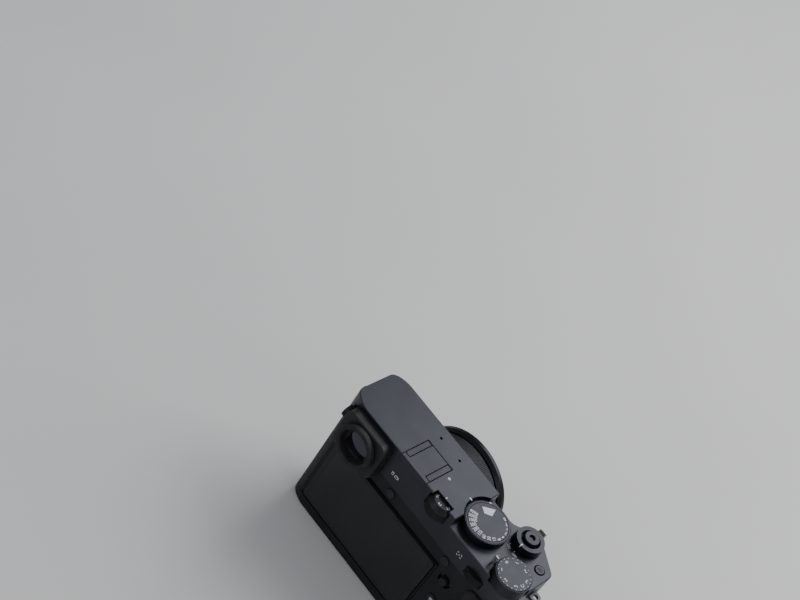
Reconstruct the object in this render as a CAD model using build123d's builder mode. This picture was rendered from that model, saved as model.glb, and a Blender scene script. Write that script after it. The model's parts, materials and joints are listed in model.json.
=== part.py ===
from build123d import *
from math import atan2, cos, degrees, pi, radians, sin, sqrt
import os

# Fixed-lens medium format digital camera, rangefinder style.
# The origin is the mouth of the tripod socket, under the lens axis and midway through the body.
# +Z is up, the lens looks along -Y, the viewfinder end is at +X and the grip end at -X.
# Places on the body are measured from the viewfinder end, from the rear face and from the base.

# Clearances
running_gap = 0.05
slip_gap = 0.1
part_gap = 0.3
overrun = 1.0
quarter_turn = 90

# Body
body_width = 133.5
body_depth = 35.0
body_height = 90.0
deck_drop = 6.6
base_height = 5.5
skirt_height = 22.0
cover_split = 10.0
wall = 1.5
floor_wall = 1.6
edge_break = 0.4
base_edge_radius = 1.0
raised_length = 84.6
lens_from_end = 54.0
lens_height = 41.0
rear_corner_long = 14.0
rear_corner_short = 7.5
front_corner_long = 12.0
front_corner_short = 6.5

# Grip end of the outline
boss_from_grip_end = 20.7
boss_from_rear = 32.6
boss_radius = 10.8
flare_radius = 8.0
slant_angle = 60.0
grip_corner_radius = 4.5

# Textured covering
covering_thickness = 0.8
covering_sink = 0.1
covering_rear_reach = 6.0
covering_rear_margin = 5.0

# Shutter dial with the sensitivity ring round it
shutter_from_grip_end = 39.6
shutter_from_rear = 17.5
shutter_ring_radius = 13.07
shutter_ring_width = 1.35
shutter_recess_radius = 14.3
dial_below_top = 1.5
dial_plate = 2.0
ring_web = 0.9
dial_hub_radius = 4.0
post_radius = 2.0
post_nut_radius = 3.5
post_nut_height = 1.0
dial_lift = 0.4
window_shares = ((-0.66, 0.29), (-0.27, 0.74), (-0.12, 0.36), (-0.38, 0.14))

# Exposure dial
exposure_from_grip_end = 10.4
exposure_from_rear = 9.2
exposure_radius = 10.3
exposure_pocket_gap = 0.8
exposure_pocket_depth = 3.2
index_post_from_grip_end = 22.2
index_post_from_rear = 6.9
index_post_width = 1.2
index_post_length = 3.0

# Release button, its collar and the power lever round it
release_radius = 4.27
release_above_top = 0.4
release_dish_radius = 1.8
release_dish_depth = 1.2
release_flange_radius = 5.2
release_flange_height = 0.9
release_drop = 0.5
collar_radius = 5.5
collar_height = 1.8
lever_radius = 8.0
lever_skirt_radius = 8.4
lever_skirt_height = 2.2
lever_below_top = 1.3
lever_tab_width = 4.4
lever_tab_reach = 11.4
lever_tab_drop = 1.0
spring_wire = 0.5
spring_seat_thickness = 1.0

# Function button on the deck
top_button_from_grip_end = 6.2
top_button_from_rear = 28.6
top_button_radius = 2.6
top_button_gap = 0.55
top_button_proud = 0.5
button_flange = 0.8

# Accessory shoe
shoe_from_end = 51.5
shoe_gap = 12.5
shoe_inner = 18.6
shoe_outer = 20.4
shoe_rear = 2.2
shoe_front = 19.7
shoe_lip = 1.3
shoe_channel = 2.2
shoe_floor = 0.9

# Aspect dial in the rear edge
aspect_from_end = 73.5
aspect_from_rear = 4.6
aspect_radius = 8.6
aspect_bevel_radius = 6.2
aspect_bevel_height = 2.3
aspect_height = 8.1
aspect_top_gap = 0.2
aspect_post_radius = 1.0
aspect_head_radius = 2.0
aspect_head_height = 0.9
notch_width = 12.9
notch_depth = 3.5
mic_hole_radius = 0.85
mic_from_shoe = 7.65
mic_from_rear = 27.7

# Viewfinder
finder_from_end = 21.5
finder_below_top = 16.0
finder_width = 31.0
finder_tall = 26.0
finder_reach = 6.0
finder_corner_radius = 5.0
finder_tube_width = 22.0
finder_tube_tall = 19.0
finder_tube_depth = 14.0
finder_tube_wall = 1.2
eyecup_radius = 12.4
eyecup_inner_radius = 9.6
eyecup_base_radius = 11.6
eyecup_reach = 10.0
eye_window_width = 14.2
eye_window_tall = 12.4
eye_glass = 1.8
eye_window_depth = 3.0
display_width = 14.0
display_tall = 11.0
display_thickness = 1.5

# Diopter dial beside the viewfinder
diopter_radius = 3.8
diopter_width = 2.2
diopter_from_rear = -1.6
diopter_below_top = 10.0
diopter_axle_radius = 1.1
diopter_axle_length = 1.6

# Tilting screen
screen_from_end = 50.3
screen_width = 82.0
screen_bottom = 9.0
screen_below_top = 32.7
screen_proud = 1.2
screen_thickness = 4.5
screen_corner_radius = 2.0
screen_glass_side = 3.0
screen_glass_end = 2.1
screen_glass_thickness = 0.8
screen_ear = 1.2
screen_arm_thickness = 1.2
screen_axis_from_rear = 1.1
screen_axis_inset = 0.9
screen_pin_radius = 0.6
screen_recess_gap = 0.3
screen_bottom_gap = 2.5
screen_top_gap = 1.9
recess_wall = 1.2

# Rear controls
drive_button_from_end = 49.5
drive_button_below_top = 26.0
lock_button_from_grip_end = 39.2
lock_button_below_top = 25.7
small_button_radius = 2.7
rear_button_from_grip_end = 32.0
rear_button_radius = 3.1
rear_button_shares = (0.59, 0.36, 0.12)
rear_button_proud = 0.7
quick_button_from_grip_end = 8.6
quick_button_below_top = 30.0
quick_flange_from_rear = 4.3
thumb_rest_from_grip_end = 12.2
thumb_rest_width = 17.5
thumb_rest_tall = 26.6
thumb_rest_below_top = 23.4
thumb_rest_proud = 2.4
thumb_rest_bevel = 1.4
stick_from_grip_end = 33.0
stick_below_top = 36.0
stick_hole_radius = 4.2
stick_cap_radius = 2.4
stick_cap_proud = 1.9
stick_stem_radius = 1.0
stick_pin_radius = 0.5
gimbal_outer_radius = 4.1
gimbal_inner_radius = 2.9
gimbal_thickness = 1.4
gimbal_from_rear = 2.6
gimbal_boss_wall = 1.2
gimbal_boss_depth = 4.6
rear_dial_from_grip_end = 22.8
rear_dial_from_rear = 5.5
rear_dial_radius = 8.0
rear_dial_height = 5.6
rear_dial_below_top = 14.2
rear_dial_post_radius = 1.6

# Front controls
front_dial_from_grip_end = 21.1
front_dial_from_rear = 39.2
front_dial_radius = 6.5
front_dial_height = 6.0
front_dial_below_top = 14.6
front_post_radius = 1.5
crop_lever_below_dial = 3.0
crop_lever_height = 2.8
crop_lever_hub_radius = 3.2
crop_lever_width = 3.6
crop_lever_reach = 8.6
crop_lever_swing = 18.0
front_button_from_end = 91.0
front_button_below_top = 30.0
front_button_radius = 2.6
front_button_proud = 0.8
lamp_from_end = 84.5
lamp_below_top = 26.0
lamp_radius = 1.9

# Lens, measured forwards from the body's front face
lens_length = 31.5
lens_radius = 29.5
barrel_radius = 24.5
barrel_wall = 2.0
barrel_rear = 19.5
lens_base_radius = 31.2
lens_base_front_radius = 30.2
lens_base_length = 3.6
ring_gap = 0.4
control_ring_length = 5.2
aperture_ring_length = 6.4
focus_ring_length = 9.8
front_ring_radius = 31.0
front_ring_rear_radius = 29.8
filter_radius = 24.5
filter_depth = 3.5
name_plate = 1.2
front_glass_radius = 12.5
front_glass_edge = 2.5
front_glass_crown = 1.0
rear_glass_radius = 17.0
rear_glass_thickness = 4.0
rear_glass_crown = 1.6
iris_radius = 6.0
iris_thickness = 0.9
iris_from_front = 4.0
seat_thickness = 2.0
knurl_depth = 0.35
rib_shares = ((0, 0), (0, 0.5), (1, 0.6), (1, 0.9))
lens_ribs = 110
dial_ribs = 72

# Inside
frame_rear = 12.5
frame_margin = 8.0
frame_bottom = 8.0
frame_below_top = 26.0
frame_plate = 2.5
frame_wall = 2.0
barrel_seat_wall = 2.4
pocket_margin = 4.6
sensor_width = 54.0
sensor_tall = 44.0
sensor_plate = 2.0
sensor_glass_width = 48.0
sensor_glass_tall = 37.0
sensor_glass = 1.2
window_margin = 1.0
shelf_below_top = 23.0
shelf_thickness = 1.6
board_rear = 7.2
board_thickness = 1.6
standoff_radius = 1.6
standoff_margin = 6.0
socket_block_margin = 0.6
socket_depth = 3.0
socket_width = 3.2
socket_tall = 9.0
jack_radius = 1.8
socket_shares = (0.2, 0.52)
jack_share = 0.82
battery_width = 34.0
battery_thick = 22.4
battery_under_cards = 4.2
battery_from_grip_end = 4.1
battery_from_rear = 7.4
battery_bottom = 2.4
chamber_wall = 0.8
card_length = 31.0
card_width = 24.0
card_thickness = 2.1
card_pitch = 3.5
card_from_grip_end = 2.8
card_from_rear = 7.0
cards_below_top = 31.4
cage_wall = 1.0

# Doors
door_gap = 0.2
hinge_pin_radius = 0.4
hinge_pin_length = 0.7
battery_door_margin = 1.6
latch_width = 4.5
latch_length = 7.0
latch_thickness = 0.8
latch_travel = 2.0
card_door_margin = 1.4
card_door_tall = 9.4
card_door_rear = 6.4
card_door_front = 31.6
connector_door_rear = 11.2
connector_door_front = 22.0
connector_door_bottom = 14.0
connector_door_below_top = 40.0

# Focus switch on the viewfinder end
switch_from_rear = 25.0
switch_below_top = 32.0
switch_slot = 2.4
switch_travel = 3.5
switch_head_width = 4.2
switch_head_tall = 5.0
switch_head_proud = 1.3

# Strap lugs
lug_below_top = 15.0
lug_from_rear = 22.0
lug_radius = 2.9
lug_eye_radius = 1.5
lug_thickness = 2.0
lug_eye_reach = 2.7
lug_foot_radius = 3.4
lug_foot = 0.6

# Tripod socket and case screws
tripod_hole_radius = 2.6
tripod_hole_depth = 6.0
tripod_bush_radius = 5.0
tripod_flange_radius = 6.2
screw_head_radius = 1.6
screw_head_height = 0.8
screw_radius = 0.8
screw_margin = 7.0
screw_boss_radius = 2.0
screw_boss_top = 9.0

# Derived levels and places
view_end = lens_from_end
grip_end = view_end - body_width
half_depth = body_depth / 2
deck_height = body_height - deck_drop
skirt_level = body_height - skirt_height
dial_top = body_height - dial_below_top
boss_u = body_width - boss_from_grip_end
reach_v = boss_from_rear + boss_radius
shutter_u = body_width - shutter_from_grip_end
exposure_u = body_width - exposure_from_grip_end
pocket_floor = deck_height - exposure_pocket_depth
pocket_radius = exposure_radius + exposure_pocket_gap
post_top = dial_top - dial_plate / 2
ring_inner_radius = shutter_ring_radius - shutter_ring_width
finder_height = body_height - finder_below_top
diopter_height = body_height - diopter_below_top
screen_top = body_height - screen_below_top
screen_tall = screen_top - screen_bottom
screen_glass_width = screen_width - 2 * screen_glass_side
screen_glass_tall = screen_tall - 2 * screen_glass_end
stick_height = body_height - stick_below_top
thumb_rest_top = body_height - thumb_rest_below_top
thumb_rest_bottom = thumb_rest_top - thumb_rest_tall
switch_height = body_height - switch_below_top
front_button_height = body_height - front_button_below_top
rear_dial_bottom = body_height - rear_dial_below_top - rear_dial_height
front_dial_bottom = body_height - front_dial_below_top - front_dial_height
crop_lever_bottom = front_dial_bottom - crop_lever_below_dial - crop_lever_height
frame_top = body_height - frame_below_top
shelf_bottom = body_height - shelf_below_top
card_bottom = body_height - cards_below_top
battery_tall = card_bottom - battery_under_cards - battery_bottom
board_tall = frame_top - frame_bottom
card_door_bottom = card_bottom - card_door_margin
card_door_top = card_door_bottom + card_door_tall
connector_door_top = body_height - connector_door_below_top
lug_height = body_height - lug_below_top
window_width = sensor_glass_width + 2 * window_margin
window_tall = sensor_glass_tall + 2 * window_margin
lens_hole_radius = barrel_radius + slip_gap


def across(u):
    return view_end - u


def along(v):
    return half_depth - v


def spot(u, v):
    return (across(u), along(v))


def level(z):
    return Plane.XY.offset(z)


def behind(v):
    # A plane across the body at this distance from the rear face, facing the front
    return Plane.XZ.offset(v - half_depth)


def lens_level(s):
    # A plane square to the lens axis at this distance in front of the body, facing the front
    return Plane((0, -half_depth - s, lens_height), (1, 0, 0), (0, -1, 0))


def end_level(x):
    return Plane.YZ.offset(x)


def disc(plane, place, radius, height, mode=Mode.ADD):
    with BuildSketch(plane) as profile:
        with Locations(place):
            Circle(radius)
    extrude(profile.sketch, amount=height, mode=mode)


def ring(plane, place, outer, inner, height, mode=Mode.ADD):
    with BuildSketch(plane) as profile:
        with Locations(place):
            Circle(outer)
            Circle(inner, mode=Mode.SUBTRACT)
    extrude(profile.sketch, amount=height, mode=mode)


def knurled(plane, place, radius, ribs, height, bevel=0):
    # A disc with axial ribs round its edge, and a plain bevel above them where one is asked for
    pitch = 2 * pi / ribs
    points = []
    for rib in range(ribs):
        for depth_share, pitch_share in rib_shares:
            reach = radius - depth_share * knurl_depth
            angle = (rib + pitch_share) * pitch
            points.append((place[0] + reach * cos(angle), place[1] + reach * sin(angle)))
    with BuildSketch(plane) as profile:
        with BuildLine():
            Polyline(*points, close=True)
        make_face()
    extrude(profile.sketch, amount=height - bevel)
    if bevel:
        base_radius = radius - knurl_depth
        cone(plane.offset(height - bevel), place, base_radius, base_radius - bevel, bevel)


def cone(plane, place, low_radius, high_radius, height, mode=Mode.ADD):
    with BuildSketch(plane) as low:
        with Locations(place):
            Circle(low_radius)
    with BuildSketch(plane.offset(height)) as high:
        with Locations(place):
            Circle(high_radius)
    loft([low.sketch, high.sketch], mode=mode)


def block(us, vs, zs, mode=Mode.ADD):
    # A box between two distances from the viewfinder end, two from the rear face and two heights
    middle = spot((us[0] + us[1]) / 2, (vs[0] + vs[1]) / 2)
    with BuildSketch(level(zs[0])) as profile:
        with Locations(middle):
            Rectangle(us[1] - us[0], vs[1] - vs[0])
    extrude(profile.sketch, amount=zs[1] - zs[0], mode=mode)


def panel(plane, place, width, tall, radius, height, mode=Mode.ADD):
    with BuildSketch(plane) as profile:
        with Locations(place):
            RectangleRounded(width, tall, radius)
    extrude(profile.sketch, amount=height, mode=mode)


def body_outline(inset, z):
    # The footprint: soft corners, and a round boss under the release with a slanted grip corner
    boss = Vector(across(boss_u), along(boss_from_rear))
    turn = 2 * quarter_turn + slant_angle
    normal = Vector(cos(radians(turn)), sin(radians(turn)))
    reach = normal.dot(boss) + boss_radius
    corner_x = grip_end + grip_corner_radius
    corner_y = (reach - grip_corner_radius - normal.X * corner_x) / normal.Y
    flare_y = -half_depth - flare_radius
    spread = (boss_radius + flare_radius) ** 2 - (flare_y - boss.Y) ** 2
    flare_x = boss.X + sqrt(spread)
    facing = degrees(atan2(flare_y - boss.Y, flare_x - boss.X))
    rear_y = half_depth - rear_corner_short
    front_y = front_corner_short - half_depth
    rear_radii = (rear_corner_long - inset, rear_corner_short - inset)
    front_radii = (front_corner_long - inset, front_corner_short - inset)
    with BuildSketch(level(z)) as outline:
        with BuildLine():
            Line((view_end - inset, front_y), (view_end - inset, rear_y))
            EllipticalCenterArc((view_end - rear_corner_long, rear_y), *rear_radii, 0, arc_size=quarter_turn)
            Line((view_end - rear_corner_long, half_depth - inset),
                 (grip_end + rear_corner_long, half_depth - inset))
            EllipticalCenterArc((grip_end + rear_corner_long, rear_y), *rear_radii, quarter_turn,
                                arc_size=quarter_turn)
            Line((grip_end + inset, rear_y), (grip_end + inset, corner_y))
            corner = CenterArc((corner_x, corner_y), grip_corner_radius - inset, 2 * quarter_turn, slant_angle)
            round_boss = CenterArc(boss, boss_radius - inset, turn, facing + 4 * quarter_turn - turn)
            Line(corner @ 1, round_boss @ 0)
            flare = CenterArc((flare_x, flare_y), flare_radius + inset, facing + 2 * quarter_turn,
                              -quarter_turn - facing)
            Line(flare @ 1, (view_end - front_corner_long, inset - half_depth))
            EllipticalCenterArc((view_end - front_corner_long, front_y), *front_radii, 3 * quarter_turn,
                                arc_size=quarter_turn)
        make_face()
    return outline.sketch


def body_slab(inset, low, high, mode=Mode.ADD):
    extrude(body_outline(inset, low), amount=high - low, mode=mode)


def write(builder, name):
    builder.part.label = name
    export_step(builder.part, "parts/" + name + ".step")


os.makedirs("parts", exist_ok=True)

# Places of the controls, as distances from the viewfinder end and from the rear face
shutter_place = spot(shutter_u, shutter_from_rear)
exposure_place = spot(exposure_u, exposure_from_rear)
boss_place = spot(boss_u, boss_from_rear)
top_button_place = spot(body_width - top_button_from_grip_end, top_button_from_rear)
aspect_place = spot(aspect_from_end, aspect_from_rear)
rear_dial_place = spot(body_width - rear_dial_from_grip_end, rear_dial_from_rear)
front_dial_place = spot(body_width - front_dial_from_grip_end, front_dial_from_rear)
tripod_place = (0, 0)
finder_place = (across(finder_from_end), finder_height)
stick_place = (across(body_width - stick_from_grip_end), stick_height)
lock_button_place = (across(body_width - lock_button_from_grip_end), body_height - lock_button_below_top)
drive_button_place = (across(drive_button_from_end), body_height - drive_button_below_top)
quick_button_place = (across(body_width - quick_button_from_grip_end), body_height - quick_button_below_top)
rear_button_x = across(body_width - rear_button_from_grip_end)
rear_button_places = [(rear_button_x, screen_bottom + share * screen_tall) for share in rear_button_shares]
menu_button_place, playback_button_place, back_button_place = rear_button_places
front_button_place = (across(front_button_from_end), front_button_height)
lamp_place = (across(lamp_from_end), body_height - lamp_below_top)
whole_depth = (-overrun, reach_v + overrun)

# Aspect dial: its top lies just under the raised plate
aspect_top = body_height - wall - aspect_top_gap
aspect_bottom = aspect_top - aspect_height

# Shoe levels
lip_under = body_height - shoe_lip
shoe_floor_top = lip_under - shoe_channel
shoe_bottom = shoe_floor_top - shoe_floor
shoe_half = shoe_outer / 2

# Viewfinder opening in the shells
finder_slot = (finder_from_end - finder_tube_width / 2 - slip_gap,
               finder_from_end + finder_tube_width / 2 + slip_gap)
finder_slot_z = (finder_height - finder_tube_tall / 2 - slip_gap,
                 finder_height + finder_tube_tall / 2 + slip_gap)

# Slot for the diopter dial, beside the viewfinder housing
diopter_far = finder_from_end - finder_width / 2 - slip_gap
diopter_near = diopter_far - diopter_width
diopter_slot_u = (diopter_near - part_gap, diopter_far + slip_gap)
diopter_slot_v = (-overrun, diopter_from_rear + diopter_radius + part_gap)
diopter_slot_z = (diopter_height - diopter_radius - part_gap, diopter_height + diopter_radius + part_gap)

# Slots for the dials that stand out of the skirt
front_dial_u = body_width - front_dial_from_grip_end
rear_dial_u = body_width - rear_dial_from_grip_end
front_dial_top = front_dial_bottom + front_dial_height
rear_dial_top = rear_dial_bottom + rear_dial_height
spring_seat_level = front_dial_top + part_gap
spring_seat_top = spring_seat_level + spring_seat_thickness

# The release button's flange hangs just under the deck
release_flange_top = deck_height - wall - release_drop
release_flange_bottom = release_flange_top - release_flange_height
release_top = body_height + release_above_top
button_bore = release_radius + slip_gap

with BuildPart() as top_plate:
    body_slab(0, skirt_level, body_height)
    block((raised_length, body_width + overrun), whole_depth, (deck_height, body_height + overrun), Mode.SUBTRACT)
    chamfer(top_plate.faces().sort_by(Axis.Z)[-1].edges(), length=edge_break)
    deck_face = top_plate.faces().filter_by(Plane.XY).filter_by_position(
        Axis.Z, deck_height - running_gap, deck_height + running_gap)[0]
    step_x = across(raised_length)
    rim = [e for e in deck_face.edges() if e.center().X < step_x - edge_break]
    chamfer(rim, length=edge_break)
    body_slab(wall, skirt_level, deck_height - wall, Mode.SUBTRACT)
    # The hollow of the raised part leaves a wall round the shutter dial's recess
    with BuildSketch(level(deck_height - wall)) as raised_hollow:
        add(body_outline(wall, 0))
        with Locations(spot((raised_length - wall) / 2, body_depth / 2)):
            Rectangle(raised_length - wall, 2 * body_depth, mode=Mode.INTERSECT)
        with Locations(shutter_place):
            Circle(shutter_recess_radius + wall, mode=Mode.SUBTRACT)
    extrude(raised_hollow.sketch, amount=deck_drop, mode=Mode.SUBTRACT)
    # Bosses under the shoe and the exposure dial
    block((shoe_from_end - shoe_half - wall, shoe_from_end + shoe_half + wall),
          (0, shoe_front + wall), (shoe_bottom - wall, body_height - wall))
    with BuildSketch(level(pocket_floor - wall)) as pocket_boss:
        add(body_outline(0, 0))
        with Locations(exposure_place):
            Circle(pocket_radius + wall, mode=Mode.INTERSECT)
    extrude(pocket_boss.sketch, amount=exposure_pocket_depth)
    disc(level(deck_height - wall), boss_place, collar_radius, wall + collar_height)
    # Recesses and holes of the dials and buttons
    disc(level(deck_height), shutter_place, shutter_recess_radius, deck_drop + overrun, Mode.SUBTRACT)
    disc(level(deck_height - wall - overrun), shutter_place, post_radius + running_gap,
         wall + 2 * overrun, Mode.SUBTRACT)
    disc(level(pocket_floor), exposure_place, pocket_radius, deck_drop + exposure_pocket_depth, Mode.SUBTRACT)
    disc(level(pocket_floor - wall - overrun), exposure_place, post_radius + running_gap,
         wall + 2 * overrun, Mode.SUBTRACT)
    disc(level(deck_height - wall - overrun), boss_place, button_bore,
         wall + collar_height + 2 * overrun, Mode.SUBTRACT)
    disc(level(deck_height - wall - overrun), top_button_place, top_button_radius + top_button_gap,
         wall + 2 * overrun, Mode.SUBTRACT)
    # Shoe pocket, open at the rear
    block((shoe_from_end - shoe_half - slip_gap, shoe_from_end + shoe_half + slip_gap),
          (-overrun, shoe_front + slip_gap), (shoe_bottom, body_height + overrun), Mode.SUBTRACT)
    # Aspect dial: a round slot through the rear edge and a narrower notch in the plate above it
    disc(level(aspect_bottom - part_gap), aspect_place, aspect_radius + part_gap,
         aspect_height + aspect_top_gap + part_gap, Mode.SUBTRACT)
    block((aspect_from_end - notch_width / 2, aspect_from_end + notch_width / 2), (-overrun, notch_depth),
          (body_height - wall - overrun, body_height + overrun), Mode.SUBTRACT)
    # Slots of the front and rear dials
    disc(level(front_dial_bottom - part_gap), front_dial_place, front_dial_radius + part_gap,
         front_dial_height + 2 * part_gap, Mode.SUBTRACT)
    disc(level(rear_dial_bottom - part_gap), rear_dial_place, rear_dial_radius + part_gap,
         rear_dial_height + 2 * part_gap, Mode.SUBTRACT)
    # Seat of the lens base, which reaches up past the covers
    disc(lens_level(-covering_thickness), (0, 0), lens_base_radius + slip_gap, body_depth, Mode.SUBTRACT)
    # Viewfinder tube and diopter dial
    block(finder_slot, (-overrun, wall + overrun), (skirt_level - overrun, finder_slot_z[1]), Mode.SUBTRACT)
    block(diopter_slot_u, diopter_slot_v, diopter_slot_z, Mode.SUBTRACT)
    # Microphone holes
    for side in (-1, 1):
        disc(level(body_height - wall - overrun), spot(shoe_from_end + side * mic_from_shoe, mic_from_rear),
             mic_hole_radius, wall + 2 * overrun, Mode.SUBTRACT)

# The posts that carry the shutter, exposure and aspect dials, and the index beside the exposure dial
with BuildPart() as dial_posts:
    for place, floor in ((shutter_place, deck_height), (exposure_place, pocket_floor)):
        disc(level(floor - wall - post_nut_height), place, post_nut_radius, post_nut_height)
        disc(level(floor - wall), place, post_radius, post_top - floor + wall)
    disc(level(aspect_bottom - part_gap - aspect_head_height), aspect_place, aspect_head_radius, aspect_head_height)
    disc(level(aspect_bottom - part_gap), aspect_place, aspect_post_radius,
         body_height - wall - aspect_bottom + part_gap)
    index_u = body_width - index_post_from_grip_end
    block((index_u - index_post_width / 2, index_u + index_post_width / 2),
          (index_post_from_rear - index_post_length / 2, index_post_from_rear + index_post_length / 2),
          (deck_height, dial_top))

# Shutter dial: a face plate on a hub, with a window over the sensitivity ring's number disc
with BuildPart() as shutter_dial:
    disc(level(deck_height + dial_lift), shutter_place, dial_hub_radius, dial_top - deck_height - dial_lift)
    disc(level(dial_top - dial_plate), shutter_place, ring_inner_radius - slip_gap, dial_plate)
    chamfer(shutter_dial.faces().sort_by(Axis.Z)[-1].edges(), length=edge_break / 2)
    disc(level(deck_height), shutter_place, post_radius + running_gap,
         post_top + running_gap - deck_height, Mode.SUBTRACT)
    with BuildSketch(level(dial_top - dial_plate)) as window:
        Polygon(*[(shutter_place[0] - x * shutter_ring_radius, shutter_place[1] - y * shutter_ring_radius)
                  for x, y in window_shares], align=None)
    extrude(window.sketch, amount=dial_plate + overrun, mode=Mode.SUBTRACT)

with BuildPart() as sensitivity_ring:
    knurled(level(deck_height + dial_lift), shutter_place, shutter_ring_radius, dial_ribs,
            dial_top - deck_height - dial_lift, edge_break / 2)
    disc(level(deck_height + dial_lift + ring_web), shutter_place, ring_inner_radius, deck_drop, Mode.SUBTRACT)
    disc(level(deck_height), shutter_place, dial_hub_radius + slip_gap, deck_drop, Mode.SUBTRACT)

with BuildPart() as exposure_dial:
    knurled(level(pocket_floor + dial_lift), exposure_place, exposure_radius, dial_ribs,
            dial_top - pocket_floor - dial_lift, edge_break)
    disc(level(pocket_floor), exposure_place, post_radius + running_gap,
         post_top + running_gap - pocket_floor, Mode.SUBTRACT)

# Release button with a dished top and a threaded cable hole, its flange under the deck
with BuildPart() as release_button:
    disc(level(release_flange_top), boss_place, release_radius, release_top - release_flange_top)
    fillet(release_button.faces().sort_by(Axis.Z)[-1].edges(), radius=edge_break)
    disc(level(release_flange_bottom), boss_place, release_flange_radius, release_flange_height)
    disc(level(release_top - release_dish_depth), boss_place, release_dish_radius,
         release_dish_depth + overrun, Mode.SUBTRACT)

with BuildPart() as release_spring:
    ring(level(spring_seat_top), boss_place, release_radius, release_radius - spring_wire,
         release_flange_bottom - spring_seat_top)

# Power lever: a ring on a ridged skirt, with a finger tab at the front
with BuildPart() as power_lever:
    lever_base = deck_height + part_gap
    lever_top = body_height - lever_below_top
    knurled(level(lever_base), boss_place, lever_skirt_radius, dial_ribs, lever_skirt_height)
    disc(level(lever_base), boss_place, lever_radius, lever_top - lever_base)
    tab_v = boss_from_rear + lever_tab_reach
    block((boss_u - lever_tab_width / 2, boss_u + lever_tab_width / 2),
          (boss_from_rear, tab_v), (lever_base + part_gap, lever_top - lever_tab_drop))
    disc(level(lever_base), boss_place, collar_radius + slip_gap, deck_drop, Mode.SUBTRACT)

with BuildPart() as top_button:
    flange_top = deck_height - wall - release_drop
    disc(level(flange_top), top_button_place, top_button_radius, deck_height + top_button_proud - flange_top)
    fillet(top_button.faces().sort_by(Axis.Z)[-1].edges(), radius=edge_break / 2)
    disc(level(flange_top - button_flange), top_button_place, top_button_radius + 2 * top_button_gap, button_flange)

# Accessory shoe: a floor, two sides and two lips
with BuildPart() as shoe_rails:
    shoe_u = (shoe_from_end - shoe_half, shoe_from_end + shoe_half)
    rail_v = (shoe_rear, shoe_front)
    block(shoe_u, rail_v, (shoe_bottom, body_height))
    block((shoe_from_end - shoe_inner / 2, shoe_from_end + shoe_inner / 2),
          (shoe_rear - overrun, shoe_front + overrun), (shoe_floor_top, lip_under), Mode.SUBTRACT)
    block((shoe_from_end - shoe_gap / 2, shoe_from_end + shoe_gap / 2),
          (shoe_rear - overrun, shoe_front + overrun), (lip_under - overrun, body_height + overrun), Mode.SUBTRACT)

with BuildPart() as shoe_cover:
    cover_half = shoe_inner / 2 - slip_gap
    insert_half = shoe_gap / 2 - slip_gap
    block((shoe_from_end - cover_half, shoe_from_end + cover_half), (0, shoe_front - slip_gap),
          (shoe_floor_top + part_gap, lip_under - part_gap))
    block((shoe_from_end - insert_half, shoe_from_end + insert_half), (0, shoe_front - slip_gap),
          (shoe_floor_top + part_gap, body_height))
    block((shoe_from_end - shoe_half, shoe_from_end + shoe_half), (0, shoe_rear - slip_gap),
          (shoe_bottom + slip_gap, body_height))

with BuildPart() as aspect_dial:
    knurled(level(aspect_bottom), aspect_place, aspect_radius, dial_ribs, aspect_height - aspect_bevel_height)
    cone(level(aspect_top - aspect_bevel_height), aspect_place, aspect_radius - knurl_depth,
         aspect_bevel_radius, aspect_bevel_height)
    disc(level(aspect_bottom - overrun), aspect_place, aspect_post_radius + running_gap,
         aspect_height + 2 * overrun, Mode.SUBTRACT)

# Cut-outs shared by the covers and the covering
door_depth = wall + covering_thickness
door_barrel = (door_depth - covering_sink) / 2
hinge_inset = covering_sink + door_barrel
card_axis_z = card_door_bottom + door_gap + door_barrel
connector_axis_v = connector_door_front - door_gap - door_barrel


def card_pins(radius, length, mode=Mode.ADD):
    # The two ends of the card door's hinge, running along the body's depth
    for start in (card_door_rear + door_gap - length, card_door_front - door_gap - running_gap):
        disc(behind(start), (across(body_width - hinge_inset), card_axis_z), radius, length + running_gap, mode)


def connector_pins(radius, length, mode=Mode.ADD):
    # The two ends of the connector door's upright hinge
    for start in (connector_door_bottom + door_gap - length, connector_door_top - door_gap - running_gap):
        disc(level(start), spot(hinge_inset, connector_axis_v), radius, length + running_gap, mode)


with BuildPart() as card_opening:
    block((body_width - door_depth - part_gap, body_width + overrun),
          (card_door_rear, card_door_front), (card_door_bottom, card_door_top))
    card_pins(hinge_pin_radius + running_gap, hinge_pin_length + running_gap)

with BuildPart() as connector_opening:
    block((-overrun, door_depth + part_gap),
          (connector_door_rear, connector_door_front), (connector_door_bottom, connector_door_top))
    connector_pins(hinge_pin_radius + running_gap, hinge_pin_length + running_gap)

with BuildPart() as switch_opening:
    block((-overrun, wall + covering_thickness + part_gap),
          (switch_from_rear - switch_slot / 2, switch_from_rear + switch_slot / 2),
          (switch_height - switch_travel - switch_slot, switch_height + switch_travel + switch_slot))

with BuildPart() as lever_opening:
    swing_room = crop_lever_reach * sin(radians(crop_lever_swing)) / 2
    lever_half = crop_lever_width / 2 + swing_room + part_gap
    block((front_dial_u - lever_half, front_dial_u + lever_half), (front_dial_from_rear, reach_v + overrun),
          (crop_lever_bottom - part_gap, crop_lever_bottom + crop_lever_height + part_gap))

with BuildPart() as front_holes:
    disc(behind(body_depth - wall - covering_thickness - overrun), front_button_place,
         front_button_radius + part_gap, wall + 3 * overrun)
    disc(behind(body_depth - wall - covering_thickness - overrun), lamp_place,
         lamp_radius + slip_gap, wall + 3 * overrun)


def covering_zone(outer, inner, margin):
    # The band round the front and the ends, open across the rear
    body_slab(outer, base_height + margin, skirt_level - margin)
    body_slab(inner, base_height, skirt_level, Mode.SUBTRACT)
    block((covering_rear_margin - margin, body_width - covering_rear_margin + margin),
          (-overrun, covering_rear_reach + margin), (base_height - overrun, skirt_level + overrun), Mode.SUBTRACT)


with BuildPart() as covering_pocket:
    covering_zone(-overrun, covering_thickness, 0)

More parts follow.
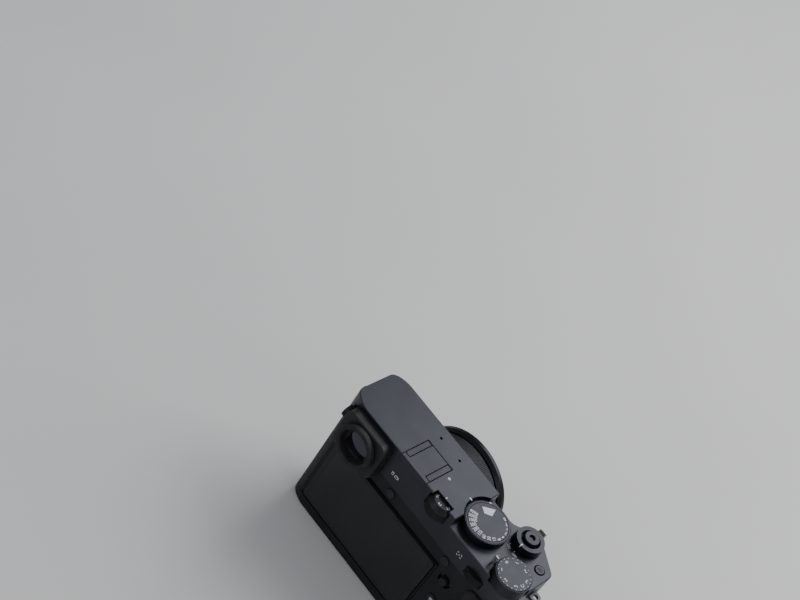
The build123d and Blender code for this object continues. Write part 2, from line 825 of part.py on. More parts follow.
with BuildPart() as covering:
    covering_zone(covering_sink, covering_thickness, slip_gap)
    disc(lens_level(-body_depth / 2), (0, 0), lens_base_radius + slip_gap, body_depth, Mode.SUBTRACT)
    for opening in (card_opening, connector_opening, switch_opening, lever_opening, front_holes):
        add(opening.part, mode=Mode.SUBTRACT)

# Band of the body between the base and the top plate
with BuildPart() as front_cover:
    body_slab(0, base_height, skirt_level)
    body_slab(wall + covering_thickness, base_height - overrun, skirt_level + overrun, Mode.SUBTRACT)
    block((-overrun, body_width + overrun), (-overrun, cover_split),
          (base_height - overrun, skirt_level + overrun), Mode.SUBTRACT)
    disc(lens_level(-wall - covering_thickness - overrun), (0, 0), lens_hole_radius,
         wall + covering_thickness + 2 * overrun, Mode.SUBTRACT)
    for opening in (covering_pocket, card_opening, connector_opening, switch_opening, lever_opening, front_holes):
        add(opening.part, mode=Mode.SUBTRACT)

screen_low_u = screen_from_end - screen_width / 2
screen_high_u = screen_from_end + screen_width / 2
recess_u = (screen_low_u - screen_ear - 2 * screen_recess_gap, screen_high_u + screen_ear + 2 * screen_recess_gap)
arm_back = screen_thickness - screen_proud + screen_recess_gap
recess_depth = arm_back + screen_arm_thickness + 2 * screen_recess_gap
low_axis_z = screen_bottom + screen_axis_inset - 2 * screen_recess_gap
top_axis_z = screen_top - screen_axis_inset
recess_z = (screen_bottom - screen_bottom_gap, screen_top + screen_top_gap)
small_button_places = (drive_button_place, lock_button_place)

with BuildPart() as rear_cover:
    body_slab(0, base_height, skirt_level)
    body_slab(wall + covering_thickness, base_height - overrun, skirt_level + overrun, Mode.SUBTRACT)
    block((covering_rear_margin + covering_thickness, body_width - covering_rear_margin - covering_thickness),
          (wall, cover_split), (base_height - overrun, skirt_level + overrun), Mode.SUBTRACT)
    block((-overrun, body_width + overrun), (cover_split, reach_v + overrun),
          (base_height - overrun, skirt_level + overrun), Mode.SUBTRACT)
    # Tub of the screen
    block((recess_u[0] - recess_wall, recess_u[1] + recess_wall), (wall / 2, recess_depth + recess_wall),
          (recess_z[0] - recess_wall / 2, recess_z[1] + recess_wall))
    block(recess_u, (-overrun, recess_depth), recess_z, Mode.SUBTRACT)
    # Boss that carries the focus stick
    disc(behind(wall / 2), stick_place, stick_hole_radius + slip_gap + gimbal_boss_wall, gimbal_boss_depth - wall / 2)
    disc(behind(-overrun), stick_place, stick_hole_radius + slip_gap, gimbal_boss_depth + 2 * overrun, Mode.SUBTRACT)
    disc(Plane.XY.offset(stick_place[1] - stick_hole_radius - gimbal_boss_wall / 2),
         (stick_place[0], along(gimbal_from_rear)), stick_pin_radius + running_gap,
         2 * stick_hole_radius + gimbal_boss_wall, Mode.SUBTRACT)
    for place in rear_button_places:
        disc(behind(-overrun), place, rear_button_radius + slip_gap, wall + 2 * overrun, Mode.SUBTRACT)
    for place in small_button_places:
        disc(behind(-overrun), place, small_button_radius + slip_gap, wall + 2 * overrun, Mode.SUBTRACT)
    disc(behind(-overrun), quick_button_place, small_button_radius + slip_gap,
         quick_flange_from_rear + overrun, Mode.SUBTRACT)
    block(finder_slot, (-overrun, wall + overrun), (finder_slot_z[0], skirt_level + overrun), Mode.SUBTRACT)
    # Holes for the pins of the screen arm
    for side in (-1, 1):
        edge_x = across(screen_from_end) - side * (recess_u[1] - screen_from_end)
        disc(end_level(edge_x - recess_wall), (along(screen_axis_from_rear), low_axis_z),
             screen_pin_radius + running_gap, 2 * recess_wall, Mode.SUBTRACT)
    for opening in (covering_pocket, card_opening):
        add(opening.part, mode=Mode.SUBTRACT)

# Base plate, a shallow pan
battery_u = (body_width - battery_from_grip_end - battery_width, body_width - battery_from_grip_end)
battery_v = (battery_from_rear, battery_from_rear + battery_thick)
door_u = (battery_u[0] - battery_door_margin, battery_u[1] + battery_door_margin)
door_v = (battery_v[0] - battery_door_margin, battery_v[1] + battery_door_margin)
screw_places = [spot(u, v) for u in (frame_margin + screw_margin, door_u[0] - screw_margin)
                for v in (frame_rear + screw_boss_radius, body_depth - screw_margin)]

battery_door_barrel = (floor_wall - slip_gap) / 2
battery_axis = (across(door_u[0] + battery_door_barrel), slip_gap + battery_door_barrel)


def battery_pins(radius, length, mode=Mode.ADD):
    # The two ends of the battery door's hinge
    for start in (door_v[0] - length, door_v[1] - running_gap):
        disc(behind(start), battery_axis, radius, length + running_gap, mode)


with BuildPart() as base_plate:
    body_slab(0, 0, base_height)
    fillet(base_plate.faces().sort_by(Axis.Z)[0].edges(), radius=base_edge_radius)
    body_slab(wall, floor_wall, base_height + overrun, Mode.SUBTRACT)
    block((door_u[0] - door_gap, door_u[1] + door_gap), (door_v[0] - door_gap, door_v[1] + door_gap),
          (-overrun, floor_wall + overrun), Mode.SUBTRACT)
    battery_pins(hinge_pin_radius + running_gap, hinge_pin_length + running_gap, Mode.SUBTRACT)
    disc(level(-overrun), tripod_place, tripod_flange_radius + slip_gap, floor_wall + 2 * overrun, Mode.SUBTRACT)
    for place in screw_places:
        disc(level(-overrun), place, screw_head_radius + running_gap, screw_head_height + overrun, Mode.SUBTRACT)
        disc(level(-overrun), place, screw_radius + running_gap, floor_wall + 2 * overrun, Mode.SUBTRACT)

with BuildPart() as case_screws:
    for place in screw_places:
        disc(level(0), place, screw_head_radius, screw_head_height)
        disc(level(screw_head_height), place, screw_radius, base_height - screw_head_height)

with BuildPart() as tripod_bush:
    disc(level(0), tripod_place, tripod_flange_radius, floor_wall)
    disc(level(0), tripod_place, tripod_bush_radius, frame_bottom)
    disc(level(-overrun), tripod_place, tripod_hole_radius, tripod_hole_depth + overrun, Mode.SUBTRACT)

# Viewfinder housing with a tube that runs into the body
with BuildPart() as viewfinder_housing:
    panel(behind(-finder_reach), finder_place, finder_width, finder_tall, finder_corner_radius, finder_reach)
    fillet(viewfinder_housing.faces().sort_by(Axis.Y)[-1].edges(), radius=edge_break * 2)
    tube_half = finder_tube_width / 2
    tube_tall = finder_tube_tall / 2
    block((finder_from_end - tube_half, finder_from_end + tube_half), (-overrun, finder_tube_depth),
          (finder_height - tube_tall, finder_height + tube_tall))
    block((finder_from_end - tube_half + finder_tube_wall, finder_from_end + tube_half - finder_tube_wall),
          (-finder_reach + eye_window_depth, finder_tube_depth - finder_tube_wall),
          (finder_height - tube_tall + finder_tube_wall, finder_height + tube_tall - finder_tube_wall), Mode.SUBTRACT)
    block((finder_from_end - eye_window_width / 2, finder_from_end + eye_window_width / 2),
          (-finder_reach - overrun, 0), (finder_height - eye_window_tall / 2, finder_height + eye_window_tall / 2),
          Mode.SUBTRACT)
    disc(end_level(across(diopter_far) - overrun - diopter_axle_length), (along(diopter_from_rear), diopter_height),
         diopter_axle_radius + running_gap, diopter_axle_length + 2 * overrun, Mode.SUBTRACT)

with BuildPart() as eyecup:
    ring(behind(-eyecup_reach), finder_place, eyecup_radius, eyecup_inner_radius, eyecup_reach - finder_reach)
    base_edge = eyecup.faces().sort_by(Axis.Y)[0].edges().sort_by(SortBy.LENGTH)[-1]
    chamfer(base_edge, length=eyecup_radius - eyecup_base_radius)
    fillet(eyecup.faces().sort_by(Axis.Y)[-1].edges(), radius=edge_break * 2)

with BuildPart() as eyepiece_lens:
    glass_half = eye_window_width / 2 - slip_gap
    glass_tall = eye_window_tall / 2 - slip_gap
    block((finder_from_end - glass_half, finder_from_end + glass_half),
          (eye_window_depth - finder_reach - eye_glass, eye_window_depth - finder_reach),
          (finder_height - glass_tall, finder_height + glass_tall))

with BuildPart() as finder_display:
    rest_v = finder_tube_depth - finder_tube_wall
    block((finder_from_end - display_width / 2, finder_from_end + display_width / 2),
          (rest_v - display_thickness, rest_v),
          (finder_height - display_tall / 2, finder_height + display_tall / 2))

# Diopter dial: a thin wheel across the body with an axle in the viewfinder housing
with BuildPart() as diopter_dial:
    wheel_place = (along(diopter_from_rear), diopter_height)
    knurled(end_level(across(diopter_far - slip_gap)), wheel_place, diopter_radius, dial_ribs // 2,
            diopter_width - slip_gap)
    disc(end_level(across(diopter_far) - diopter_axle_length), wheel_place, diopter_axle_radius,
         diopter_axle_length + diopter_width / 2)

# Tilting screen: an arm hinged low in the tub, and the screen hinged at the arm's top
with BuildPart() as screen_arm:
    arm_z = (low_axis_z - screen_axis_inset / 2, top_axis_z + screen_axis_inset)
    ear_u = (screen_low_u - screen_ear - screen_recess_gap, screen_high_u + screen_ear + screen_recess_gap)
    block(ear_u, (0, arm_back + screen_arm_thickness), arm_z)
    block((screen_low_u - screen_recess_gap, screen_high_u + screen_recess_gap), (-overrun, arm_back),
          (arm_z[0] - overrun, arm_z[1] + overrun), Mode.SUBTRACT)
    axis_y = along(screen_axis_from_rear)
    for side in (-1, 1):
        ear_x = across(screen_from_end) - side * (screen_width / 2 + screen_recess_gap + screen_ear / 2)
        pin_half = screen_ear / 2 + screen_recess_gap
        outward = screen_recess_gap + recess_wall / 2
        disc(end_level(ear_x - side * outward - pin_half), (axis_y, low_axis_z), screen_pin_radius, 2 * pin_half)
        disc(end_level(ear_x + side * outward - pin_half), (axis_y, top_axis_z), screen_pin_radius, 2 * pin_half)

screen_middle = (across(screen_from_end), (screen_bottom + screen_top) / 2)

with BuildPart() as screen_frame:
    panel(behind(-screen_proud), screen_middle, screen_width, screen_tall,
          screen_corner_radius, screen_thickness)
    panel(behind(-screen_proud - overrun), screen_middle, screen_glass_width + slip_gap,
          screen_glass_tall + slip_gap, screen_corner_radius, screen_glass_thickness + overrun, Mode.SUBTRACT)
    for side in (-1, 1):
        hole_x = across(screen_from_end) - side * screen_width / 2
        disc(end_level(hole_x - screen_ear), (along(screen_axis_from_rear), top_axis_z),
             screen_pin_radius + running_gap, 2 * screen_ear, Mode.SUBTRACT)

with BuildPart() as screen_glass:
    panel(behind(-screen_proud), screen_middle, screen_glass_width, screen_glass_tall,
          screen_corner_radius, screen_glass_thickness)


# A rear button: a cap through the wall, with a flange that holds it in
def rear_button(place, radius, proud, flange_v):
    with BuildPart() as button:
        disc(behind(-proud), place, radius, proud + flange_v)
        fillet(button.faces().sort_by(Axis.Y)[-1].edges(), radius=edge_break / 2)
        disc(behind(flange_v), place, radius + button_flange, button_flange)
    return button


flange_v = wall + release_drop
drive_button = rear_button(drive_button_place, small_button_radius, rear_button_proud, flange_v)
lock_button = rear_button(lock_button_place, small_button_radius, rear_button_proud, flange_v)
menu_button = rear_button(menu_button_place, rear_button_radius, rear_button_proud, flange_v)
playback_button = rear_button(playback_button_place, rear_button_radius, rear_button_proud, flange_v)
back_button = rear_button(back_button_place, rear_button_radius, rear_button_proud, flange_v)
quick_proud = thumb_rest_proud + rear_button_proud / 2
quick_button = rear_button(quick_button_place, small_button_radius, quick_proud, quick_flange_from_rear)

# Thumb rest, a pad that swells towards its middle
with BuildPart() as thumb_rest:
    rest_place = (across(body_width - thumb_rest_from_grip_end), (thumb_rest_bottom + thumb_rest_top) / 2)
    panel(behind(-thumb_rest_proud), rest_place, thumb_rest_width, thumb_rest_tall, thumb_rest_width / 4,
          thumb_rest_proud + rear_corner_short)
    chamfer(thumb_rest.faces().sort_by(Axis.Y)[-1].edges(), length=thumb_rest_bevel)
    body_slab(0, thumb_rest_bottom - overrun, thumb_rest_top + overrun, Mode.SUBTRACT)
    disc(behind(-thumb_rest_proud - overrun), quick_button_place, small_button_radius + part_gap,
         thumb_rest_proud + rear_corner_short, Mode.SUBTRACT)

# Focus stick: the ring turns on upright pins, the stick on level pins inside it
with BuildPart() as stick_gimbal:
    gimbal_rear = gimbal_from_rear - gimbal_thickness / 2
    ring(behind(gimbal_rear), stick_place, gimbal_outer_radius, gimbal_inner_radius, gimbal_thickness)
    pin_reach = stick_hole_radius + gimbal_boss_wall / 2 - slip_gap
    pin_length = pin_reach - gimbal_outer_radius + running_gap * 4
    for start in (stick_place[1] - pin_reach, stick_place[1] + pin_reach - pin_length):
        disc(level(start), (stick_place[0], along(gimbal_from_rear)), stick_pin_radius, pin_length)
    disc(end_level(stick_place[0] - gimbal_outer_radius - overrun), (along(gimbal_from_rear), stick_place[1]),
         stick_pin_radius + running_gap, 2 * gimbal_outer_radius + 2 * overrun, Mode.SUBTRACT)

with BuildPart() as focus_stick:
    disc(behind(-stick_cap_proud), stick_place, stick_cap_radius, stick_cap_proud)
    fillet(focus_stick.faces().sort_by(Axis.Y)[-1].edges(), radius=edge_break)
    disc(behind(0), stick_place, stick_stem_radius, gimbal_from_rear + stick_pin_radius)
    cross_half = gimbal_outer_radius - slip_gap
    disc(end_level(stick_place[0] - cross_half), (along(gimbal_from_rear), stick_place[1]),
         stick_pin_radius, 2 * cross_half)

with BuildPart() as rear_dial:
    knurled(level(rear_dial_bottom), rear_dial_place, rear_dial_radius, dial_ribs * 2 // 3, rear_dial_height)
    disc(level(rear_dial_bottom - overrun), rear_dial_place, rear_dial_post_radius + running_gap,
         rear_dial_height + 2 * overrun, Mode.SUBTRACT)

with BuildPart() as front_dial:
    knurled(level(front_dial_bottom), front_dial_place, front_dial_radius, dial_ribs // 2, front_dial_height)
    disc(level(front_dial_bottom - overrun), front_dial_place, front_post_radius + running_gap,
         front_dial_height + 2 * overrun, Mode.SUBTRACT)

with BuildPart() as crop_lever:
    disc(level(crop_lever_bottom), front_dial_place, crop_lever_hub_radius, crop_lever_height)
    block((front_dial_u - crop_lever_width / 2, front_dial_u + crop_lever_width / 2),
          (front_dial_from_rear, front_dial_from_rear + crop_lever_reach),
          (crop_lever_bottom, crop_lever_bottom + crop_lever_height))
    disc(level(crop_lever_bottom - overrun), front_dial_place, front_post_radius + running_gap,
         crop_lever_height + 2 * overrun, Mode.SUBTRACT)

with BuildPart() as front_button:
    inner_face = body_depth - wall - covering_thickness - release_drop
    disc(behind(inner_face), front_button_place, front_button_radius, body_depth + front_button_proud - inner_face)
    fillet(front_button.faces().sort_by(Axis.Y)[0].edges(), radius=edge_break / 2)
    disc(behind(inner_face - button_flange), front_button_place, front_button_radius + button_flange, button_flange)

with BuildPart() as assist_lamp:
    disc(behind(body_depth - wall - covering_thickness), lamp_place, lamp_radius, wall + covering_thickness)

# Chassis: lens and sensor frame, shelf under the dials, battery chamber and card cage
card_u = (body_width - card_from_grip_end - card_length, body_width - card_from_grip_end)
card_v = (card_from_rear, card_from_rear + card_width)
frame_u = (frame_margin, battery_u[0] - chamber_wall - part_gap)
cage_u = (card_u[0] - cage_wall, body_width - wall - covering_thickness - part_gap)
cage_v = (card_v[0] - cage_wall, card_v[1] + cage_wall)
cage_bottom = card_bottom - cage_wall
frame_front = body_depth - wall - covering_thickness

with BuildPart() as chassis:
    # Card cage and lens frame, trimmed to the shells
    block(cage_u, cage_v, (cage_bottom, shelf_bottom + shelf_thickness))
    block((frame_u[1] - frame_wall, cage_u[0] + overrun), (frame_rear, cage_v[1]),
          (frame_top - frame_wall, shelf_bottom + shelf_thickness))
    block(frame_u, (frame_rear, frame_front), (frame_bottom, frame_top))
    body_slab(wall + covering_thickness + part_gap, base_height, body_height, Mode.INTERSECT)
    # The lens frame is a rear plate, walls round it and the seat of the barrel
    block((frame_u[0] + frame_wall, frame_u[1] - frame_wall), (frame_rear + frame_plate, frame_front + overrun),
          (frame_bottom + frame_wall, frame_top - frame_wall), Mode.SUBTRACT)
    seat_start = frame_rear + frame_plate - body_depth
    disc(lens_level(seat_start), (0, 0), lens_hole_radius + barrel_seat_wall, frame_front - frame_rear - frame_plate)
    disc(lens_level(seat_start), (0, 0), lens_hole_radius, body_depth, Mode.SUBTRACT)
    block((lens_from_end - window_width / 2, lens_from_end + window_width / 2), (0, body_depth),
          (lens_height - window_tall / 2, lens_height + window_tall / 2), Mode.SUBTRACT)
    button_u = (front_button_from_end - pocket_margin, front_button_from_end + pocket_margin)
    block(button_u, (frame_front - pocket_margin / 2, frame_front + overrun),
          (front_button_height - pocket_margin, frame_top + overrun), Mode.SUBTRACT)
    # Battery chamber
    chamber_u = (battery_u[0] - chamber_wall - part_gap, battery_u[1] + chamber_wall + part_gap)
    chamber_v = (battery_v[0] - chamber_wall - part_gap, battery_v[1] + chamber_wall + part_gap)
    block(chamber_u, chamber_v, (floor_wall + part_gap, cage_bottom + cage_wall))
    block((battery_u[0] - part_gap, battery_u[1] + part_gap), (battery_v[0] - part_gap, battery_v[1] + part_gap),
          (0, battery_bottom + battery_tall + part_gap), Mode.SUBTRACT)
    for tier in (0, 1):
        slot_low = card_bottom + tier * card_pitch
        block((card_u[0] - part_gap, body_width), (card_v[0] - part_gap, card_v[1] + part_gap),
              (slot_low - slip_gap, slot_low + card_thickness + slip_gap), Mode.SUBTRACT)
    # Feet on the base plate, with the holes of the case screws
    for place in screw_places:
        disc(level(floor_wall), place, screw_boss_radius, screw_boss_top - floor_wall)
        disc(level(0), place, screw_radius + running_gap, base_height + overrun, Mode.SUBTRACT)
    # Tongues and posts of the front and rear dials
    shelf_z = (shelf_bottom, shelf_bottom + shelf_thickness)
    tongue_half = front_post_radius + shelf_thickness
    block((front_dial_u - tongue_half, front_dial_u + tongue_half),
          (cage_v[1] - overrun, front_dial_from_rear), shelf_z)
    disc(level(crop_lever_bottom - part_gap), front_dial_place, front_post_radius,
         spring_seat_top - crop_lever_bottom + part_gap)
    block((rear_dial_u - tongue_half, rear_dial_u + tongue_half),
          (rear_dial_from_rear - rear_dial_post_radius, cage_v[0] + overrun), shelf_z)
    disc(level(shelf_bottom), rear_dial_place, rear_dial_post_radius, rear_dial_top + slip_gap - shelf_bottom)
    # Seat of the release spring, on a column behind the front dial
    disc(level(spring_seat_level), boss_place, release_flange_radius, spring_seat_thickness)
    block((boss_u - tongue_half, boss_u + tongue_half), (boss_from_rear, front_dial_from_rear + front_post_radius),
          (spring_seat_level, spring_seat_top))
    block((boss_u - release_flange_radius, boss_u + release_flange_radius),
          (boss_from_rear - release_flange_radius, front_dial_from_rear - front_dial_radius - part_gap),
          (shelf_bottom, spring_seat_top))

with BuildPart() as battery:
    panel(level(battery_bottom), spot((battery_u[0] + battery_u[1]) / 2, (battery_v[0] + battery_v[1]) / 2),
          battery_width, battery_thick, wall, battery_tall)

with BuildPart() as memory_cards:
    for tier in (0, 1):
        slot_low = card_bottom + tier * card_pitch
        block(card_u, card_v, (slot_low, slot_low + card_thickness))

with BuildPart() as image_sensor:
    sensor_v = frame_rear
    block((lens_from_end - sensor_width / 2, lens_from_end + sensor_width / 2), (sensor_v - sensor_plate, sensor_v),
          (lens_height - sensor_tall / 2, lens_height + sensor_tall / 2))
    block((lens_from_end - sensor_glass_width / 2, lens_from_end + sensor_glass_width / 2),
          (sensor_v, sensor_v + sensor_glass),
          (lens_height - sensor_glass_tall / 2, lens_height + sensor_glass_tall / 2))

# Main board behind the sensor, and a side board with three sockets behind the connector door
with BuildPart() as circuit_boards:
    board_front = board_rear + board_thickness
    block((frame_u[0], frame_u[1] - part_gap), (board_rear, board_front), (frame_bottom, frame_bottom + board_tall))
    for u in (frame_u[0] + standoff_margin, frame_u[1] - standoff_margin):
        for z in (frame_bottom + standoff_margin, frame_bottom + board_tall - standoff_margin):
            disc(behind(board_front), (across(u), z), standoff_radius, frame_rear - board_front)
    socket_face = wall + covering_thickness + part_gap
    block((socket_face, frame_u[0]), (frame_rear, connector_door_front - socket_block_margin),
          (connector_door_bottom + socket_block_margin, connector_door_top - socket_block_margin))
    socket_y = along((frame_rear + connector_door_front - socket_block_margin) / 2)
    door_tall = connector_door_top - connector_door_bottom
    for share in socket_shares:
        socket_z = connector_door_bottom + share * door_tall
        panel(end_level(across(socket_face + socket_depth)), (socket_y, socket_z), socket_width, socket_tall,
              socket_width / 3, socket_depth + overrun, Mode.SUBTRACT)
    disc(end_level(across(socket_face + socket_depth)), (socket_y, connector_door_bottom + jack_share * door_tall),
         jack_radius, socket_depth + overrun, Mode.SUBTRACT)

# Battery door with its latch, card door and connector door
with BuildPart() as battery_door:
    latch_place = spot(door_u[1] - latch_length, (door_v[0] + door_v[1]) / 2)
    block((door_u[0] + battery_door_barrel, door_u[1]), door_v, (slip_gap, floor_wall))
    disc(behind(door_v[0]), battery_axis, battery_door_barrel, door_v[1] - door_v[0])
    battery_pins(hinge_pin_radius, hinge_pin_length)
    with BuildSketch(level(0)) as latch_pocket:
        with Locations(latch_place):
            Rectangle(latch_length + latch_travel + 2 * slip_gap, latch_width + 2 * slip_gap)
    extrude(latch_pocket.sketch, amount=slip_gap + latch_thickness, mode=Mode.SUBTRACT)

with BuildPart() as battery_latch:
    with BuildSketch(level(slip_gap)) as latch_plate:
        with Locations((latch_place[0] - latch_travel / 2, latch_place[1])):
            Rectangle(latch_length, latch_width)
    extrude(latch_plate.sketch, amount=latch_thickness - slip_gap)

with BuildPart() as card_door:
    card_v_range = (card_door_rear + door_gap, card_door_front - door_gap)
    body_slab(covering_sink, card_axis_z, card_door_top - door_gap)
    block((-overrun, body_width - door_depth), whole_depth, (card_door_bottom, card_door_top), Mode.SUBTRACT)
    block((0, body_width + overrun), (-overrun, card_v_range[0]), (card_door_bottom, card_door_top), Mode.SUBTRACT)
    block((0, body_width + overrun), (card_v_range[1], reach_v + overrun),
          (card_door_bottom, card_door_top), Mode.SUBTRACT)
    disc(behind(card_v_range[0] + wall), (across(body_width - hinge_inset), card_axis_z), door_barrel,
         card_v_range[1] - card_v_range[0] - 2 * wall)
    card_pins(hinge_pin_radius, hinge_pin_length)

with BuildPart() as connector_door:
    connector_z = (connector_door_bottom + door_gap, connector_door_top - door_gap)
    block((covering_sink, door_depth), (connector_door_rear + door_gap, connector_axis_v), connector_z)
    disc(level(connector_z[0]), spot(hinge_inset, connector_axis_v), door_barrel, connector_z[1] - connector_z[0])
    connector_pins(hinge_pin_radius, hinge_pin_length)

# Focus switch: head outside, neck through the slot, foot inside
with BuildPart() as focus_switch:
    inner_u = wall + covering_thickness + part_gap
    neck_half = switch_slot / 2 - slip_gap
    head_v = (switch_from_rear - switch_head_width / 2, switch_from_rear + switch_head_width / 2)
    block((-switch_head_proud, -slip_gap), head_v,
          (switch_height - switch_head_tall / 2, switch_height + switch_head_tall / 2))
    block((-slip_gap, inner_u), (switch_from_rear - neck_half, switch_from_rear + neck_half),
          (switch_height - neck_half, switch_height + neck_half))
    block((inner_u, inner_u + wall / 2), head_v,
          (switch_height - switch_head_tall / 2, switch_height + switch_head_tall / 2))

with BuildPart() as strap_lugs:
    for end_x, outward in ((view_end, 1), (grip_end, -1)):
        foot_low = end_x if outward > 0 else end_x - lug_foot
        disc(end_level(foot_low), (along(lug_from_rear), lug_height), lug_foot_radius, lug_foot)
        eye_x = end_x + outward * lug_eye_reach
        eye_place = (eye_x, along(lug_from_rear))
        disc(level(lug_height - lug_thickness / 2), eye_place, lug_radius, lug_thickness)
        block((across(max(end_x, eye_x)), across(min(end_x, eye_x))),
              (lug_from_rear - lug_radius, lug_from_rear + lug_radius),
              (lug_height - lug_thickness / 2, lug_height + lug_thickness / 2))
        disc(level(lug_height - lug_thickness), eye_place, lug_eye_radius, 2 * lug_thickness, Mode.SUBTRACT)
    body_slab(0, skirt_level, body_height, Mode.SUBTRACT)

# Lens: the rings sit one after another on the barrel
control_start = lens_base_length + ring_gap
aperture_start = control_start + control_ring_length + ring_gap
focus_start = aperture_start + aperture_ring_length + ring_gap
front_start = focus_start + focus_ring_length + ring_gap
ring_bore = barrel_radius + running_gap
barrel_inner = barrel_radius - barrel_wall
glass_seat = lens_length - filter_depth - name_plate

with BuildPart() as lens_barrel:
    ring(lens_level(-barrel_rear), (0, 0), barrel_radius, barrel_inner, barrel_rear + front_start)
    ring(lens_level(glass_seat - front_glass_edge), (0, 0), barrel_inner, front_glass_radius + slip_gap,
         seat_thickness)
    ring(lens_level(glass_seat - front_glass_edge - seat_thickness), (0, 0), barrel_inner + slip_gap,
         front_glass_radius - seat_thickness / 2, seat_thickness)
    ring(lens_level(-barrel_rear), (0, 0), barrel_inner + slip_gap, rear_glass_radius - seat_thickness / 2,
         seat_thickness)
    ring(lens_level(-barrel_rear + seat_thickness), (0, 0), barrel_inner + slip_gap, rear_glass_radius + slip_gap,
         rear_glass_thickness)
    ring(lens_level(iris_from_front + iris_thickness), (0, 0), barrel_inner + slip_gap,
         barrel_inner - seat_thickness, seat_thickness)

with BuildPart() as lens_base:
    cone(lens_level(-covering_thickness), (0, 0), lens_base_radius, lens_base_front_radius,
         lens_base_length + covering_thickness)
    disc(lens_level(-covering_thickness - overrun), (0, 0), lens_hole_radius,
         lens_base_length + covering_thickness + 2 * overrun, Mode.SUBTRACT)


# A ribbed ring of the lens that turns on the barrel
def lens_ring(start, length):
    with BuildPart() as turning:
        knurled(lens_level(start), (0, 0), lens_radius, lens_ribs, length)
        disc(lens_level(start - overrun), (0, 0), ring_bore, length + 2 * overrun, Mode.SUBTRACT)
    return turning


control_ring = lens_ring(control_start, control_ring_length)
aperture_ring = lens_ring(aperture_start, aperture_ring_length)
focus_ring = lens_ring(focus_start, focus_ring_length)

# Front ring: flared outside, with the filter thread, a name plate step and a socket for the barrel
with BuildPart() as filter_ring:
    flare_length = (lens_length - front_start) / 2
    cone(lens_level(front_start), (0, 0), front_ring_rear_radius, front_ring_radius, flare_length)
    disc(lens_level(front_start + flare_length), (0, 0), front_ring_radius, lens_length - front_start - flare_length)
    chamfer(filter_ring.faces().sort_by(Axis.Y)[0].edges(), length=edge_break)
    disc(lens_level(lens_length - filter_depth), (0, 0), filter_radius, filter_depth + overrun, Mode.SUBTRACT)
    disc(lens_level(front_start - overrun), (0, 0), front_glass_radius + slip_gap, lens_length, Mode.SUBTRACT)

with BuildPart() as front_glass:
    crown = front_glass_crown
    bend = (front_glass_radius ** 2 + crown ** 2) / (2 * crown)
    start = glass_seat - front_glass_edge
    with BuildSketch(Plane.YZ) as half:
        with BuildLine():
            back_y = -half_depth - start
            front_y = back_y - front_glass_edge
            Line((back_y, lens_height), (back_y, lens_height + front_glass_radius))
            Line((back_y, lens_height + front_glass_radius), (front_y, lens_height + front_glass_radius))
            RadiusArc((front_y, lens_height + front_glass_radius), (front_y - crown, lens_height), -bend)
            Line((front_y - crown, lens_height), (back_y, lens_height))
        make_face()
    revolve(half.sketch, axis=Axis((0, 0, lens_height), (0, 1, 0)))

with BuildPart() as rear_glass:
    disc(lens_level(-barrel_rear + seat_thickness), (0, 0), rear_glass_radius, rear_glass_thickness)
    cone(lens_level(-barrel_rear + seat_thickness + rear_glass_thickness), (0, 0), rear_glass_radius - seat_thickness,
         rear_glass_radius / 2, rear_glass_crown)

with BuildPart() as iris_plate:
    ring(lens_level(iris_from_front), (0, 0), barrel_inner - slip_gap, iris_radius, iris_thickness)

pieces = (
    (chassis, "chassis"), (top_plate, "top_plate"), (front_cover, "front_cover"), (rear_cover, "rear_cover"),
    (base_plate, "base_plate"), (covering, "covering"), (thumb_rest, "thumb_rest"), (shoe_rails, "shoe_rails"),
    (strap_lugs, "strap_lugs"), (tripod_bush, "tripod_bush"), (case_screws, "case_screws"),
    (viewfinder_housing, "viewfinder_housing"), (eyecup, "eyecup"), (eyepiece_lens, "eyepiece_lens"),
    (finder_display, "finder_display"), (dial_posts, "dial_posts"), (release_spring, "release_spring"),
    (lens_base, "lens_base"), (lens_barrel, "lens_barrel"), (filter_ring, "filter_ring"),
    (front_glass, "front_glass"), (rear_glass, "rear_glass"), (iris_plate, "iris_plate"),
    (image_sensor, "image_sensor"), (circuit_boards, "circuit_boards"), (assist_lamp, "assist_lamp"),
    (battery, "battery"), (memory_cards, "memory_cards"), (shutter_dial, "shutter_dial"),
    (sensitivity_ring, "sensitivity_ring"), (exposure_dial, "exposure_dial"), (release_button, "release_button"),
    (power_lever, "power_lever"), (top_button, "top_button"), (front_dial, "front_dial"),
    (crop_lever, "crop_lever"), (front_button, "front_button"), (aspect_dial, "aspect_dial"),
    (rear_dial, "rear_dial"), (focus_stick, "focus_stick"), (stick_gimbal, "stick_gimbal"),
    (drive_button, "drive_button"), (lock_button, "lock_button"), (quick_button, "quick_button"),
    (menu_button, "menu_button"), (playback_button, "playback_button"), (back_button, "back_button"),
    (focus_switch, "focus_switch"), (diopter_dial, "diopter_dial"), (screen_arm, "screen_arm"),
    (screen_frame, "screen_frame"), (screen_glass, "screen_glass"), (battery_door, "battery_door"),
    (battery_latch, "battery_latch"), (card_door, "card_door"), (connector_door, "connector_door"),
    (shoe_cover, "shoe_cover"), (control_ring, "control_ring"), (focus_ring, "focus_ring"),
    (aperture_ring, "aperture_ring"),
)
for builder, name in pieces:
    write(builder, name)
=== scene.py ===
# %% [markdown]
# # A compact medium format camera, dressed piece by piece
#
# The solids of this camera already exist: body shells, dials, rings, doors and buttons, in metres, with
# the origin in the mouth of the tripod socket, +Z up and -Y the way the lens looks. Here each solid gets
# the finish that the real piece has, and the things too fine for solids are added: painted numbers, fine
# ribs on the lens rings, iris leaves, the coil of the release spring, cross-head screws. Every added piece
# is parented to an empty named after the body that carries it.

# %% Load the solids
import json
import math
import bmesh
import bpy
from mathutils import Matrix, Vector


